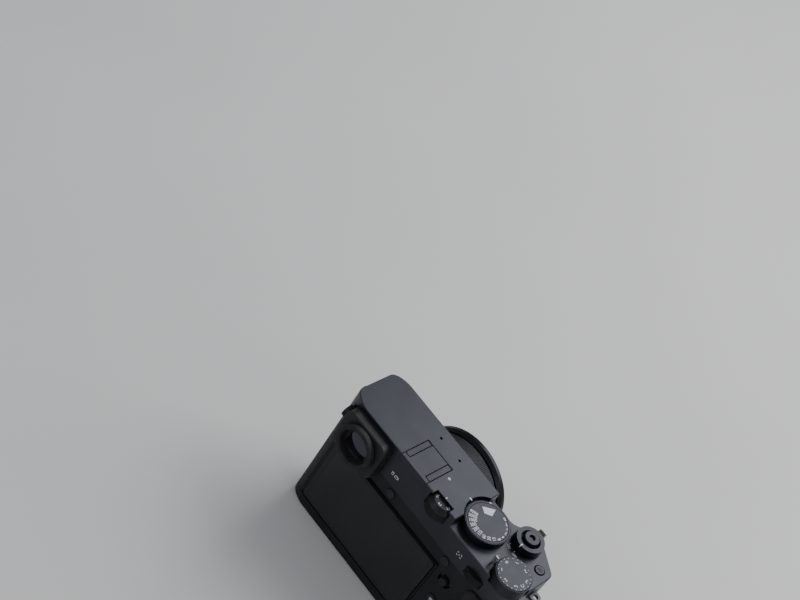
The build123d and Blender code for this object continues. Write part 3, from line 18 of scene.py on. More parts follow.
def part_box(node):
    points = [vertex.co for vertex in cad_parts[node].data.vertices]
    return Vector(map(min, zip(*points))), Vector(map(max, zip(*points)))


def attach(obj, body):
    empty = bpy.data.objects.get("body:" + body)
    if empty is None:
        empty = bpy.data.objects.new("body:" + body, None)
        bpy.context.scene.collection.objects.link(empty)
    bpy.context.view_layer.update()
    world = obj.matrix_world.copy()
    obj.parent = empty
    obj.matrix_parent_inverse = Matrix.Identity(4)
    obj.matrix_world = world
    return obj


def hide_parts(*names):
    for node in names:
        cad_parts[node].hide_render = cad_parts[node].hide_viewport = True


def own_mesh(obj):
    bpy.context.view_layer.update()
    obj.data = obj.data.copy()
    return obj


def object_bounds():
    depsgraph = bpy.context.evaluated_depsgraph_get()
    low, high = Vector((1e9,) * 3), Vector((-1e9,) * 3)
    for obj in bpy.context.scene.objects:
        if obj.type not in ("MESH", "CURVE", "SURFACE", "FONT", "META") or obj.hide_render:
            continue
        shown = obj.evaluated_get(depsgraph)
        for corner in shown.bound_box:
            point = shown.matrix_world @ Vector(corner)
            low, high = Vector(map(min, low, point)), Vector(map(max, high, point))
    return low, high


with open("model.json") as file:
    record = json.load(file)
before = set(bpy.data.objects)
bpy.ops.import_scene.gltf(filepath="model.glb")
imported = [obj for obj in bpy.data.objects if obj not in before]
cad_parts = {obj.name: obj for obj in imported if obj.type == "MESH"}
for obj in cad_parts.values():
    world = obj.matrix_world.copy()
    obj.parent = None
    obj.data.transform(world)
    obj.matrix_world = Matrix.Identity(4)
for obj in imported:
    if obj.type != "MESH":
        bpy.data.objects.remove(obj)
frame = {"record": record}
cad_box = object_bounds()
MM = 0.001


def new_object(name, data):
    made = bpy.data.objects.new(name, data)
    bpy.context.collection.objects.link(made)
    return made


# %% [markdown]
# ## Places read from the solids
#
# What is painted on a dial has to sit on that dial, so the places and heights are read from the solids, in
# millimetres. Distances along the lens are counted from the front of the body.

# %% Places on the solids
X, Y, Z = 0, 1, 2


def ends(node, axis):
    # Where the solid starts and ends along this axis
    low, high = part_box(node)
    return round(low[axis] / MM, 2), round(high[axis] / MM, 2)


def middle(node, *axes):
    # To a tenth, because a rim made of facets can put its box a hundredth of a millimetre off centre
    low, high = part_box(node)
    return tuple(round((low[axis] + high[axis]) / 2 / MM, 1) for axis in axes)


SHUTTER = middle("shutter_dial", X, Y)
EXPOSURE = middle("exposure_dial", X, Y)
RELEASE = middle("release_button", X, Y)
TOP_BUTTON = middle("top_button", X, Y)
ASPECT = middle("aspect_dial", X, Y)
DIAL_TOP = ends("shutter_dial", Z)[1]
RAISED_TOP = ends("top_plate", Z)[1]
DECK_DROP = 6.6
DECK = RAISED_TOP - DECK_DROP
REAR_FACE = ends("top_plate", Y)[1]
# The body is centred on the origin from front to rear
BODY_FRONT = -REAR_FACE
LENS_HEIGHT = middle("filter_ring", Z)[0]
LENS_AXIS = (0.0, 0.0, LENS_HEIGHT)


def ahead(node):
    # How far in front of the body the solid starts and ends
    low, high = ends(node, Y)
    return round(BODY_FRONT - high, 2), round(BODY_FRONT - low, 2)


print("shutter dial at", SHUTTER, "exposure dial at", EXPOSURE, "lens axis at height", LENS_HEIGHT)

# %% [markdown]
# ## Camera
#
# The view is from behind and above, with the grip end nearest, through a lens of 76 mm. Its place, its turn
# and its lens were solved together from corners and edges of the body and the accessory shoe, with the
# body's width and the gap between the shoe's rails given.

# %% Camera
CAMERA_PLACE = (-185.9, 576.3, 704.7)
CAMERA_RIGHT = (-0.6116, -0.6744, 0.4138)
CAMERA_UP = (0.7319, -0.2834, 0.6198)
CAMERA_BACK = (-0.3007, 0.6818, 0.6669)
FOCAL_LENGTH = 75.86
FILM_WIDTH = 36.0
NEAREST, FARTHEST = 0.01, 20.0
camera_data = bpy.data.cameras.new("studio_camera")
camera_data.lens = FOCAL_LENGTH
camera_data.sensor_width = FILM_WIDTH
camera_data.sensor_fit = "HORIZONTAL"
camera_data.clip_start = NEAREST
camera_data.clip_end = FARTHEST
camera = new_object("studio_camera", camera_data)
facing = Matrix((CAMERA_RIGHT, CAMERA_UP, CAMERA_BACK)).transposed().to_4x4()
camera.matrix_world = Matrix.Translation(Vector(CAMERA_PLACE) * MM) @ facing
bpy.context.scene.camera = camera
print("camera at", [round(c, 3) for c in camera.location])

# %% [markdown]
# ## How the finishes are built
#
# A real surface is never one flat colour. Blasted metal has grain, rubber has a bloom, leatherette has
# pebbles. Each finish here is a small net of nodes on Object coordinates, which stay fixed to the piece
# when it moves. The helpers keep the nets short: one adds a node, one makes grain, and three turn grain into
# colour, into roughness or into a small step in the surface.

# %% Helpers for the finishes
def add(tree, kind, inputs=(), **settings):
    made = tree.nodes.new(kind)
    for key, value in settings.items():
        setattr(made, key, value)
    for key, value in dict(inputs).items():
        if isinstance(value, bpy.types.NodeSocket):
            tree.links.new(value, made.inputs[key])
        else:
            made.inputs[key].default_value = value
    return made


def new_finish(name, **sockets):
    material = bpy.data.materials.new(name)
    material.use_nodes = True
    shader = material.node_tree.nodes["Principled BSDF"]
    for key, value in sockets.items():
        shader.inputs[key.replace("_", " ")].default_value = value
    return material, material.node_tree, shader


def place_of(tree, stretch=(1, 1, 1), centre=(0, 0, 0)):
    # Object coordinates, drawn out along an axis or centred on a dial
    where = add(tree, "ShaderNodeTexCoord").outputs["Object"]
    offset = tuple(-c * MM * s for c, s in zip(centre, stretch))
    return add(tree, "ShaderNodeMapping", {"Vector": where, "Location": offset, "Scale": stretch}).outputs[0]


def grain(tree, where, size, detail=2.0):
    # Noise whose blotches are about this many millimetres across
    sockets = {"Vector": where, "Scale": 1 / (size * MM), "Detail": detail, "Roughness": 0.55}
    return add(tree, "ShaderNodeTexNoise", sockets).outputs["Fac"]


def between(tree, value, low, high, start=0.3, end=0.7):
    sockets = {"Value": value, "From Min": start, "From Max": end, "To Min": low, "To Max": high}
    return add(tree, "ShaderNodeMapRange", sockets).outputs["Result"]


def shade(tree, shader, value, dark, light):
    # A base colour that runs between two shades
    ramp = add(tree, "ShaderNodeValToRGB", {"Fac": value})
    for stop, position, colour in zip(ramp.color_ramp.elements, (0.3, 0.7), (dark, light)):
        stop.position = position
        stop.color = (*colour, 1)
    tree.links.new(ramp.outputs["Color"], shader.inputs["Base Color"])


def dull(tree, shader, value, low, high, start=0.3, end=0.7):
    # A roughness that runs between two values
    tree.links.new(between(tree, value, low, high, start, end), shader.inputs["Roughness"])


def relief(tree, shader, height, depth):
    # A bump of this depth in millimetres, laid over any bump that the shader already has
    sockets = {"Height": height, "Distance": depth * MM, "Strength": 1.0}
    if shader.inputs["Normal"].is_linked:
        sockets["Normal"] = shader.inputs["Normal"].links[0].from_socket
    bump = add(tree, "ShaderNodeBump", sockets)
    tree.links.new(bump.outputs["Normal"], shader.inputs["Normal"])


def clouded(name, dark, light, colour_grain, rough, rough_grain, step=None, stretch=(1, 1, 1), **sockets):
    # Each grain is its size and detail, rough is its two ends, and a step is its depth and then its grain
    material, tree, shader = new_finish(name, **sockets)
    where = place_of(tree, stretch)
    shade(tree, shader, grain(tree, where, *colour_grain), dark, light)
    dull(tree, shader, grain(tree, where, *rough_grain), *rough)
    if step:
        relief(tree, shader, grain(tree, where, *step[1:]), step[0])
    return material


print("finish helpers ready")

# %% [markdown]
# ## Blasted and turned metal
#
# The top is milled from alloy, blasted with fine glass beads and anodised dark grey: an even, slightly blue
# grey with a very fine grain. The dials get the same dye after turning on a lathe, so they carry faint
# rings round their own axis. The rings come from a Wave texture centred on each axis.

# %% Blasted metal
def blasted(name, dark, light, metallic, rough, bead=0.12, depth=0.004, shine=0.5):
    return clouded(name, dark, light, (18.0,), (rough - 0.05, rough + 0.06), (bead, 1.0), (depth, bead, 1.0),
                   Metallic=metallic, Specular_IOR_Level=shine)


top_finish = blasted("blasted_grey_alloy", (0.04, 0.042, 0.05), (0.048, 0.05, 0.059), 0.85, 0.4)
black_alloy = blasted("matt_black_coated_alloy", (0.011, 0.0115, 0.013), (0.017, 0.0175, 0.0195), 0.25, 0.5,
                      bead=0.2, shine=0.25)
trap_black = blasted("light_trap_black", (0.004, 0.004, 0.005), (0.007, 0.007, 0.008), 0.0, 0.75,
                     bead=0.2, shine=0.15)
cast_alloy = blasted("cast_alloy", (0.24, 0.25, 0.26), (0.36, 0.37, 0.38), 0.85, 0.55, bead=0.5, depth=0.03)
print("blasted finishes:", top_finish.name, black_alloy.name, trap_black.name, cast_alloy.name)


# %% Turned metal
TOOL_PITCH = 0.22
# Radians that the texture's wave goes through in one unit
WAVE_TURN = 20
DIAL_SHADES = ((0.034, 0.036, 0.043), (0.042, 0.044, 0.052))
TURNED_STEP = 0.0025


def turned(name, centre, axis, dark, light, metallic=0.85, rough=0.4, shine=0.5):
    material, tree, shader = new_finish(name, Metallic=metallic, Specular_IOR_Level=shine)
    where = place_of(tree, centre=centre)
    sockets = {"Vector": where, "Scale": math.tau / (WAVE_TURN * TOOL_PITCH * MM)}
    rings = add(tree, "ShaderNodeTexWave", sockets, wave_type="RINGS", rings_direction=axis).outputs["Fac"]
    beads = grain(tree, where, 0.15, 1.0)
    shade(tree, shader, grain(tree, where, 9.0), dark, light)
    dull(tree, shader, beads, rough - 0.05, rough + 0.05)
    relief(tree, shader, beads, TURNED_STEP)
    relief(tree, shader, rings, TURNED_STEP)
    return material


shutter_finish = turned("turned_shutter_dial", (*SHUTTER, 0), "Z", *DIAL_SHADES)
exposure_finish = turned("turned_exposure_dial", (*EXPOSURE, 0), "Z", *DIAL_SHADES)
release_finish = turned("turned_release", (*RELEASE, 0), "Z", *DIAL_SHADES)
button_finish = turned("turned_top_button", (*TOP_BUTTON, 0), "Z", *DIAL_SHADES)
# Painted shade: the aspect dial is darker and less metallic than the other dials, for its recessed, unlit top
aspect_painted_shade_finish = turned("turned_aspect_dial_painted_shade", (*ASPECT, 0), "Z", (0.01, 0.0105, 0.012), (0.016, 0.0165, 0.019),
                       metallic=0.1, rough=0.45, shine=0.25)
lens_finish = turned("turned_lens_ring", LENS_AXIS, "Y", (0.02, 0.0205, 0.023), (0.028, 0.0285, 0.032))
front_finish = turned("turned_front_ring", LENS_AXIS, "Y", (0.014, 0.0145, 0.017), (0.02, 0.021, 0.024),
                      rough=0.33)
print("turned finishes centred on", SHUTTER, EXPOSURE, RELEASE, ASPECT)

# %% [markdown]
# ## Black covering, rubber, plastic and steel
#
# The covering is a thin synthetic leather with small raised pebbles, parted by fine creases. A Voronoi
# texture's distance to the cell edge gives just that: high in the middle of each pebble, low in the crease.
# Rubber is rougher than plastic, and its bloom shows as faint pale clouds. Drawn steel has grain that runs
# one way, so its noise is stretched along the part.

# %% Covering and rubber
PEBBLES_PER_METRE = 1000.0
WAVES_PER_METRE = 700.0
BEND = 0.002
leatherette, tree, shader = new_finish("pebbled_covering", Specular_IOR_Level=0.28)
where = place_of(tree)
waves = add(tree, "ShaderNodeTexNoise", {"Vector": where, "Scale": WAVES_PER_METRE})
bent = add(tree, "ShaderNodeMixRGB", {"Fac": BEND, "Color1": where, "Color2": waves.outputs["Color"]})
pebble = add(tree, "ShaderNodeTexVoronoi", {"Vector": bent.outputs["Color"], "Scale": PEBBLES_PER_METRE},
             feature="DISTANCE_TO_EDGE")
dome = between(tree, pebble.outputs["Distance"], 0.0, 1.0, 0.0, 0.28)
# Painted shade: the colour darkens from each pebble's top down into the crease round it
shade(tree, shader, dome, (0.008, 0.008, 0.009), (0.022, 0.022, 0.024))
dull(tree, shader, dome, 0.7, 0.48, 0.0, 1.0)
relief(tree, shader, grain(tree, where, 0.25), 0.02)
relief(tree, shader, dome, 0.09)
rubber = clouded("soft_black_rubber", (0.013, 0.013, 0.014), (0.026, 0.026, 0.027), (4.0, 4.0), (0.62, 0.8),
                 (1.1, 3.0), (0.012, 0.18, 1.0), Specular_IOR_Level=0.25)
print("covering and rubber ready")


# %% Plastic and steel
def moulded(name, dark, light, rough=0.48):
    # Spark-eroded mould texture: fine even grain
    return clouded(name, dark, light, (7.0,), (rough - 0.06, rough + 0.08), (0.14, 1.0), (0.008, 0.14, 1.0),
                   Specular_IOR_Level=0.28)


def drawn_steel(name, dark, light, stretch, rough=0.34):
    return clouded(name, dark, light, (0.25, 3.0), (rough - 0.08, rough + 0.1), (0.25, 3.0),
                   (0.003, 0.25, 3.0), stretch, Metallic=1.0)


black_plastic = moulded("moulded_black_plastic", (0.013, 0.013, 0.0145), (0.02, 0.02, 0.022))
battery_plastic = moulded("battery_case_plastic", (0.03, 0.03, 0.032), (0.042, 0.042, 0.045), 0.55)
card_plastic = moulded("card_plastic", (0.045, 0.05, 0.062), (0.06, 0.066, 0.08), 0.42)
black_steel = drawn_steel("blackened_steel", (0.05, 0.051, 0.056), (0.075, 0.076, 0.083), (1, 0.06, 1), 0.38)
bright_steel = drawn_steel("bright_steel", (0.46, 0.47, 0.49), (0.62, 0.63, 0.65), (1, 1, 0.08))
print("plastic and steel ready")

# %% [markdown]
# ## Glass, screen, sensor and board
#
# Coated glass shows a purple glint where light grazes it, which the shader's Specular Tint gives. The
# screen's cover glass is black when switched off and picks up faint smudges: a slow noise in its roughness.
# The sensor's filter is dark and runs from teal to purple, and the circuit boards are green with paler
# tracks.

# %% Glass and screens
glass = clouded("coated_glass", (0.62, 0.68, 0.74), (0.7, 0.75, 0.8), (14.0,), (0.0, 0.012), (3.0,), IOR=1.5,
                Transmission_Weight=1.0, Specular_Tint=(0.72, 0.62, 1.0, 1), Specular_IOR_Level=0.22)
cover_glass = clouded("black_cover_glass", (0.006, 0.0065, 0.008), (0.012, 0.013, 0.016), (40.0,),
                      (0.05, 0.16), (9.0, 5.0), Coat_Weight=0.15, Specular_IOR_Level=0.4)
# Painted shade: the eyepiece glass lets no light through and is near black, for the dark finder behind it
eyepiece_painted_shade = clouded("eyepiece_glass_painted_shade", (0.006, 0.007, 0.009), (0.01, 0.011, 0.014), (12.0,),
                         (0.02, 0.06), (3.0,), Coat_Weight=0.5, Specular_Tint=(0.75, 0.7, 1.0, 1))
sensor_glass = clouded("sensor_filter", (0.02, 0.05, 0.055), (0.05, 0.03, 0.06), (22.0,), (0.04, 0.1), (6.0,),
                       Coat_Weight=0.8)
lamp_glass = clouded("amber_lamp_window", (0.32, 0.09, 0.02), (0.5, 0.17, 0.05), (1.0,), (0.05, 0.2), (0.4,),
                     Transmission_Weight=0.7, IOR=1.49)
print("glass, screen, sensor and lamp ready")

# %% Circuit board
TRACKS_PER_METRE = 380.0
board, tree, shader = new_finish("circuit_board")
where = place_of(tree)
tracks = add(tree, "ShaderNodeTexVoronoi", {"Vector": where, "Scale": TRACKS_PER_METRE},
             feature="DISTANCE_TO_EDGE")
line = between(tree, tracks.outputs["Distance"], 1.0, 0.0, 0.02, 0.09)
shade(tree, shader, line, (0.008, 0.05, 0.022), (0.03, 0.14, 0.06))
dull(tree, shader, grain(tree, where, 2.0), 0.3, 0.45)
relief(tree, shader, line, 0.02)
print("board ready")


# %% Paint for the markings
def paint(name, dark, light, rough=0.5, shine=0.5):
    return clouded(name, dark, light, (0.5, 3.0), (rough - 0.1, rough + 0.1), (0.2,), (0.004, 0.15),
                   Specular_IOR_Level=shine)


white_paint = paint("white_filled_marking", (0.72, 0.73, 0.76), (0.86, 0.87, 0.9))
red_paint = paint("red_filled_marking", (0.17, 0.028, 0.028), (0.24, 0.045, 0.042))
# Dark print for the drum's numbers and the top button's mark, and painted shade for the gaps round the shoe
dark_print_and_gap_shade = paint("dark_marking_and_gap_shade", (0.003, 0.003, 0.0035), (0.006, 0.006, 0.0065), 0.85, 0.1)
# Painted reflection: a pale lilac that stands for light reflected in the shutter dial's window, laid on the number drum
# under it
window_reflection_paint = paint("number_card_painted_reflection", (0.66, 0.67, 0.78), (0.74, 0.75, 0.86))
# Painted reflection: the pane in the dial's window is a milky pale lilac, for the light reflected in it
pane_painted_reflection = clouded("window_pane_painted_reflection", (0.8, 0.81, 0.94), (0.88, 0.89, 0.98), (2.0,), (0.2, 0.32),
                       (0.6,), Transmission_Weight=0.45, IOR=1.49)
print("paints ready")

# %% [markdown]
# ## Give every solid its finish
#
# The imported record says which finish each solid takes, so one table of finishes dresses them all. Turned
# pieces override it, because their rings must run round their own axis. A solid's mesh is never touched:
# only its material slots change.

# %% Dress the solids
by_slot = {
    "satin_alloy": top_finish, "dial_alloy": shutter_finish, "black_alloy": black_alloy,
    "cast_alloy": cast_alloy, "leatherette": leatherette, "black_rubber": rubber,
    "black_steel": black_steel, "steel": bright_steel, "black_plastic": black_plastic,
    "optical_glass": glass, "display": cover_glass, "sensor": sensor_glass, "board": board,
    "lamp": lamp_glass, "battery_case": battery_plastic, "card_plastic": card_plastic,
}
by_node = {
    "exposure_dial": exposure_finish, "release_button": release_finish, "power_lever": release_finish,
    "top_button": button_finish, "aspect_dial": aspect_painted_shade_finish, "lens_base": lens_finish,
    "filter_ring": front_finish, "eyepiece_lens": eyepiece_painted_shade, "stick_gimbal": black_steel,
}


def dress(node, finish):
    slots = bpy.data.objects[node].data.materials
    if len(slots) == 0:
        slots.append(finish)
    for index in range(len(slots)):
        slots[index] = finish


for row in frame["record"]["subparts"]:
    dress(row["node"], by_node.get(row["node"], by_slot[row["material_slot"]]))

# %% [markdown]
# ## Making small pieces
#
# Most added pieces are built flat at the origin, then the mesh is moved to its place with a frame of three
# directions: along the writing, up the writing, and out of the surface. The object itself stays at the
# origin. Writing starts as Blender text, which has clean outlines, and becomes a mesh before it is placed.

# %% Helpers for added pieces
PAINT_DEPTH = 0.02
CAP_SHARE = 0.73
ROUND_STEPS = 8
AS_BUILT = Matrix.Identity(4)
FROM_BEHIND = ((-1, 0, 0), (0, -1, 0))
FROM_ABOVE = ((1, 0, 0), (0, 1, 0))


def surface_frame(place, along, upward):
    along = Vector(along).normalized()
    outward = along.cross(Vector(upward)).normalized()
    upward = outward.cross(along)
    turned_frame = Matrix((along, upward, outward)).transposed().to_4x4()
    return Matrix.Translation(Vector(place) * MM) @ turned_frame


def joined(name, meshes):
    together = bmesh.new()
    for mesh in meshes:
        together.from_mesh(mesh)
        bpy.data.meshes.remove(mesh)
    result = bpy.data.meshes.new(name)
    together.to_mesh(result)
    together.free()
    return result


def piece(name, mesh, finish, body):
    # One mesh, or a list of meshes joined into one
    if isinstance(mesh, list):
        mesh = joined(name, mesh)
    made = new_object(name, mesh)
    mesh.materials.clear()
    mesh.materials.append(finish)
    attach(made, body)
    return made


def evaluated_mesh(holder):
    # The mesh that an object ends up with, kept on its own
    return bpy.data.meshes.new_from_object(holder.evaluated_get(bpy.context.evaluated_depsgraph_get()))


def written(words, tall, frame_here, narrow=1.0, align="CENTER"):
    # Writing of this height in millimetres, as a thin closed mesh
    curve = bpy.data.curves.new("outline", "FONT")
    curve.body = words
    curve.size = tall / CAP_SHARE * MM
    curve.align_x = align
    curve.align_y = "CENTER"
    curve.extrude = PAINT_DEPTH * MM
    curve.resolution_u = 3
    holder = new_object("outline", curve)
    mesh = evaluated_mesh(holder)
    bpy.data.objects.remove(holder)
    bpy.data.curves.remove(curve)
    mesh.transform(frame_here @ Matrix.Diagonal((narrow, 1, 1, 1)))
    return mesh


def loop_of(shape, outline, z):
    return [shape.verts.new((x * MM, y * MM, z * MM)) for x, y in outline]


def wall(shape, first, second):
    # Faces between two loops of as many points
    for k in range(len(first)):
        n = (k + 1) % len(first)
        shape.faces.new((first[k], first[n], second[n], second[k]))


def mesh_of(name, shape):
    bmesh.ops.recalc_face_normals(shape, faces=shape.faces)
    mesh = bpy.data.meshes.new(name)
    shape.to_mesh(mesh)
    shape.free()
    return mesh


def plate(outline, frame_here, low=-PAINT_DEPTH, high=PAINT_DEPTH, hole=None):
    # A thin plate with this outline, or a frame between it and a hole with as many points
    shape = bmesh.new()
    below, above = loop_of(shape, outline, low), loop_of(shape, outline, high)
    wall(shape, below, above)
    if hole is None:
        shape.faces.new(above)
        shape.faces.new(reversed(below))
    else:
        hole_below, hole_above = loop_of(shape, hole, low), loop_of(shape, hole, high)
        wall(shape, hole_above, hole_below)
        wall(shape, above, hole_above)
        wall(shape, hole_below, below)
    mesh = mesh_of("plate", shape)
    mesh.transform(frame_here)
    return mesh


def capsule(long, wide):
    # Outline of a bar with round ends, as long and wide as given
    half, r = (long - wide) / 2, wide / 2
    right = [(half + r * math.cos(a), r * math.sin(a)) for a in
             (math.pi * (k / ROUND_STEPS - 0.5) for k in range(ROUND_STEPS + 1))]
    return right + [(-x, -y) for x, y in right]


def circle(r, steps=24):
    return [(r * math.cos(math.tau * k / steps), r * math.sin(math.tau * k / steps)) for k in range(steps)]


def round_the_dial(centre, height, degrees, radius, inward=True):
    # A frame on a dial's face at this angle: writing runs from the rim towards the middle, or along the rim
    a = math.radians(degrees)
    out = Vector((math.cos(a), math.sin(a), 0))
    tangent = Vector((-math.sin(a), math.cos(a), 0))
    place = (centre[0] + radius * out.x, centre[1] + radius * out.y, height)
    return surface_frame(place, -out if inward else tangent, -tangent if inward else -out)


print("piece helpers ready")

# %% [markdown]
# ## Numbers on the shutter dial
#
# The dial's numbers are cut into its face and filled with white, each written along its own radius so that
# the one beside the index reads straight from behind the camera. They run round the rim from the index:
# four figures, three, two, one, then T and B. The automatic setting is red.

# %% Shutter dial numbers
SHUTTER_SPEEDS = ("4000", "2000", "1000", "500", "250", "125", "60", "30", "15", "8", "4", "2", "1", "T", "B")
SPEED_TALL, SPEED_NARROW = 1.95, 0.92
SPEED_START = 11.2
FIRST_SPEED, LAST_SPEED = 23.0, 254.0
AUTOMATIC_TALL = 1.8
AUTOMATIC_START = 10.7
AUTOMATIC_AT = -5.0
speed_step = (LAST_SPEED - FIRST_SPEED) / (len(SHUTTER_SPEEDS) - 1)
numbers = []
for k, words in enumerate(SHUTTER_SPEEDS):
    here = round_the_dial(SHUTTER, DIAL_TOP, FIRST_SPEED + k * speed_step, SPEED_START)
    numbers.append(written(words, SPEED_TALL, here, SPEED_NARROW, "LEFT"))
piece("shutter_dial_numbers", numbers, white_paint, "shutter_dial")
here = round_the_dial(SHUTTER, DIAL_TOP, AUTOMATIC_AT, AUTOMATIC_START)
piece("shutter_dial_automatic", written("A", AUTOMATIC_TALL, here, align="LEFT"), red_paint, "shutter_dial")
print("shutter numbers:", len(SHUTTER_SPEEDS) + 1, "step", round(speed_step, 1), "degrees")

# %% Sensitivity numbers under the window
SENSITIVITIES = ("100", "200", "400", "800", "1600", "3200", "6400", "C", "A")
FIRST_SENSITIVITY = -47.0
SENSITIVITY_TALL, SENSITIVITY_NARROW = 1.6, 0.85
SENSITIVITY_RADIUS = 7.9
WEB_TOP, DRUM_TOP = 84.7, 86.4
DRUM_RADIUS, DRUM_HOLE, DRUM_SIDES = 11.5, 4.3, 64
WINDOW = ((8.63, -3.79), (3.53, -9.67), (1.57, -4.71), (4.97, -1.83))
PANE_SHARE = 0.985
PANE_DEEP, PANE_SUNK = 0.5, 0.08
MARK_AT, MARK_RADIUS = -50.0, 12.45
# Painted reflection: the drum under the window is pale lilac for the light reflected in the window, and its numbers are
# dark print
card = plate(circle(DRUM_RADIUS, DRUM_SIDES), surface_frame((*SHUTTER, 0), *FROM_ABOVE), WEB_TOP, DRUM_TOP,
             circle(DRUM_HOLE, DRUM_SIDES))
piece("sensitivity_drum", card, window_reflection_paint, "sensitivity_ring")
numbers = []
for k, words in enumerate(SENSITIVITIES):
    angle = FIRST_SENSITIVITY + k * 360.0 / len(SENSITIVITIES)
    here = round_the_dial(SHUTTER, DRUM_TOP, angle, SENSITIVITY_RADIUS)
    numbers.append(written(words, SENSITIVITY_TALL, here, SENSITIVITY_NARROW))
piece("sensitivity_numbers", numbers, dark_print_and_gap_shade, "sensitivity_ring")
# Painted reflection: a milky pale lilac pane fills the window, for the light reflected in it
mx, my = [sum(c) / len(WINDOW) for c in zip(*WINDOW)]
pane = [(SHUTTER[0] + mx + (x - mx) * PANE_SHARE, SHUTTER[1] + my + (y - my) * PANE_SHARE) for x, y in WINDOW]
piece("dial_window_pane", plate(pane, AS_BUILT, DIAL_TOP - PANE_DEEP, DIAL_TOP - PANE_SUNK), pane_painted_reflection,
      "shutter_dial")
dash = plate(capsule(1.5, 0.45), round_the_dial(SHUTTER, DIAL_TOP, MARK_AT, MARK_RADIUS, False))
piece("sensitivity_mark", dash, white_paint, "sensitivity_ring")
print("sensitivity numbers:", len(SENSITIVITIES))

# %% [markdown]
# ## Exposure dial
#
# Zero stands at the index, with 1, 2, 3 either way round to C at the far side. A dot marks each third of a
# step: one outside each number, two between a pair, and a single one either side of C. The dots are one
# shape repeated round a circle at an even angle, which is a job for Geometry Nodes: points are set out by
# their index, a small disc stands on each, and the number and radius stay open as inputs. The tree ends in
# Realize Instances and Set Material so that a plain mesh comes out.

# %% Geometry Nodes helpers
def new_tree(name, **kinds):
    # A tree that takes geometry and these named inputs, and gives geometry
    tree = bpy.data.node_groups.new(name, "GeometryNodeTree")
    tree.interface.new_socket("Geometry", in_out="INPUT", socket_type="NodeSocketGeometry")
    for label, kind in kinds.items():
        tree.interface.new_socket(label.replace("_", " "), in_out="INPUT", socket_type="NodeSocket" + kind)
    tree.interface.new_socket("Finish", in_out="INPUT", socket_type="NodeSocketMaterial")
    tree.interface.new_socket("Geometry", in_out="OUTPUT", socket_type="NodeSocketGeometry")
    source = add(tree, "NodeGroupInput")
    return tree, source.outputs


def close_tree(tree, given, shape):
    solid = add(tree, "GeometryNodeRealizeInstances", {"Geometry": shape}).outputs["Geometry"]
    coat = add(tree, "GeometryNodeSetMaterial", {"Geometry": solid, "Material": given["Finish"]})
    out = add(tree, "NodeGroupOutput")
    tree.links.new(coat.outputs["Geometry"], out.inputs["Geometry"])


def grown(name, base, tree, values):
    # Run the tree on a base mesh and keep the result as a plain mesh
    holder = new_object(name, base)
    growth = holder.modifiers.new(name, "NODES")
    growth.node_group = tree
    for item in tree.interface.items_tree:
        if item.item_type == "SOCKET" and item.in_out == "INPUT" and item.name in values:
            growth[item.identifier] = values[item.name]
    result = evaluated_mesh(holder)
    holder.modifiers.remove(growth)
    bpy.data.objects.remove(holder)
    result.name = name
    return result


def maths(tree, operation, *values):
    return add(tree, "ShaderNodeMath", dict(enumerate(values)), operation=operation).outputs[0]


def ring_of_points(tree, count, radius, height):
    # Points set out evenly round a circle, and the angle at each
    turns = maths(tree, "MULTIPLY", add(tree, "GeometryNodeInputIndex").outputs[0], math.tau)
    angle = maths(tree, "DIVIDE", turns, count)
    x = maths(tree, "MULTIPLY", maths(tree, "COSINE", angle), radius)
    y = maths(tree, "MULTIPLY", maths(tree, "SINE", angle), radius)
    spot = add(tree, "ShaderNodeCombineXYZ", {"X": x, "Y": y, "Z": height})
    points = add(tree, "GeometryNodePoints", {"Count": count, "Position": spot.outputs[0]})
    turn = add(tree, "ShaderNodeCombineXYZ", {"Z": angle})
    return points.outputs[0], turn.outputs[0]


def stand_on(tree, points, shape, turn):
    sockets = {"Points": points, "Instance": shape, "Rotation": turn}
    return add(tree, "GeometryNodeInstanceOnPoints", sockets).outputs["Instances"]


print("tree helpers ready")

# %% Dots and numbers on the exposure dial
DOTS = 22
DOTS_PER_STEP = 3
DOT_CIRCLE, DOT_RADIUS = 9.0, 0.2
ZERO_AT = -6.0
EXPOSURE_TALL = 2.0
EXPOSURE_NUMBERS_AT = 7.1
tree, given = new_tree("dots_round_a_dial", Count="Int", Radius="Float", Dot_Radius="Float", Depth="Float")
points, turn = ring_of_points(tree, given["Count"], given["Radius"], 0.0)
dot = add(tree, "GeometryNodeMeshCylinder", {"Vertices": 12, "Radius": given["Dot Radius"],
                                             "Depth": given["Depth"]})
close_tree(tree, given, stand_on(tree, points, dot.outputs["Mesh"], turn))
exposure_step = 360.0 / DOTS * DOTS_PER_STEP
marks = [("0", 0.0), ("1", exposure_step), ("2", 2 * exposure_step), ("3", 3 * exposure_step), ("C", 180.0),
         ("3", -3 * exposure_step), ("2", -2 * exposure_step), ("1", -exposure_step)]
numbers = [written(words, EXPOSURE_TALL, round_the_dial(EXPOSURE, DIAL_TOP, a + ZERO_AT, EXPOSURE_NUMBERS_AT))
           for words, a in marks]
piece("exposure_dial_numbers", numbers, white_paint, "exposure_dial")
mesh = grown("exposure_dial_dots", bpy.data.meshes.new("exposure_dial_dots"), tree,
             {"Count": DOTS, "Radius": DOT_CIRCLE * MM, "Dot Radius": DOT_RADIUS * MM,
              "Depth": 2 * PAINT_DEPTH * MM, "Finish": white_paint})
mesh.transform(Matrix.Translation(Vector((*EXPOSURE, DIAL_TOP)) * MM) @
               Matrix.Rotation(math.radians(ZERO_AT), 4, "Z"))
piece("exposure_dial_dots", mesh, white_paint, "exposure_dial")
print("exposure dial:", len(marks), "numbers and", DOTS, "dots")

# %% [markdown]
# ## Index marks, the power switch and the aspect dial
#
# A short white bar on the raised top points at the shutter dial, and another stands on the black post
# beside the exposure dial. The power lever carries a white tick that points at OFF or ON on the deck. The
# aspect dial's ratios stand round its flat top, where one at a time shows in the notch.

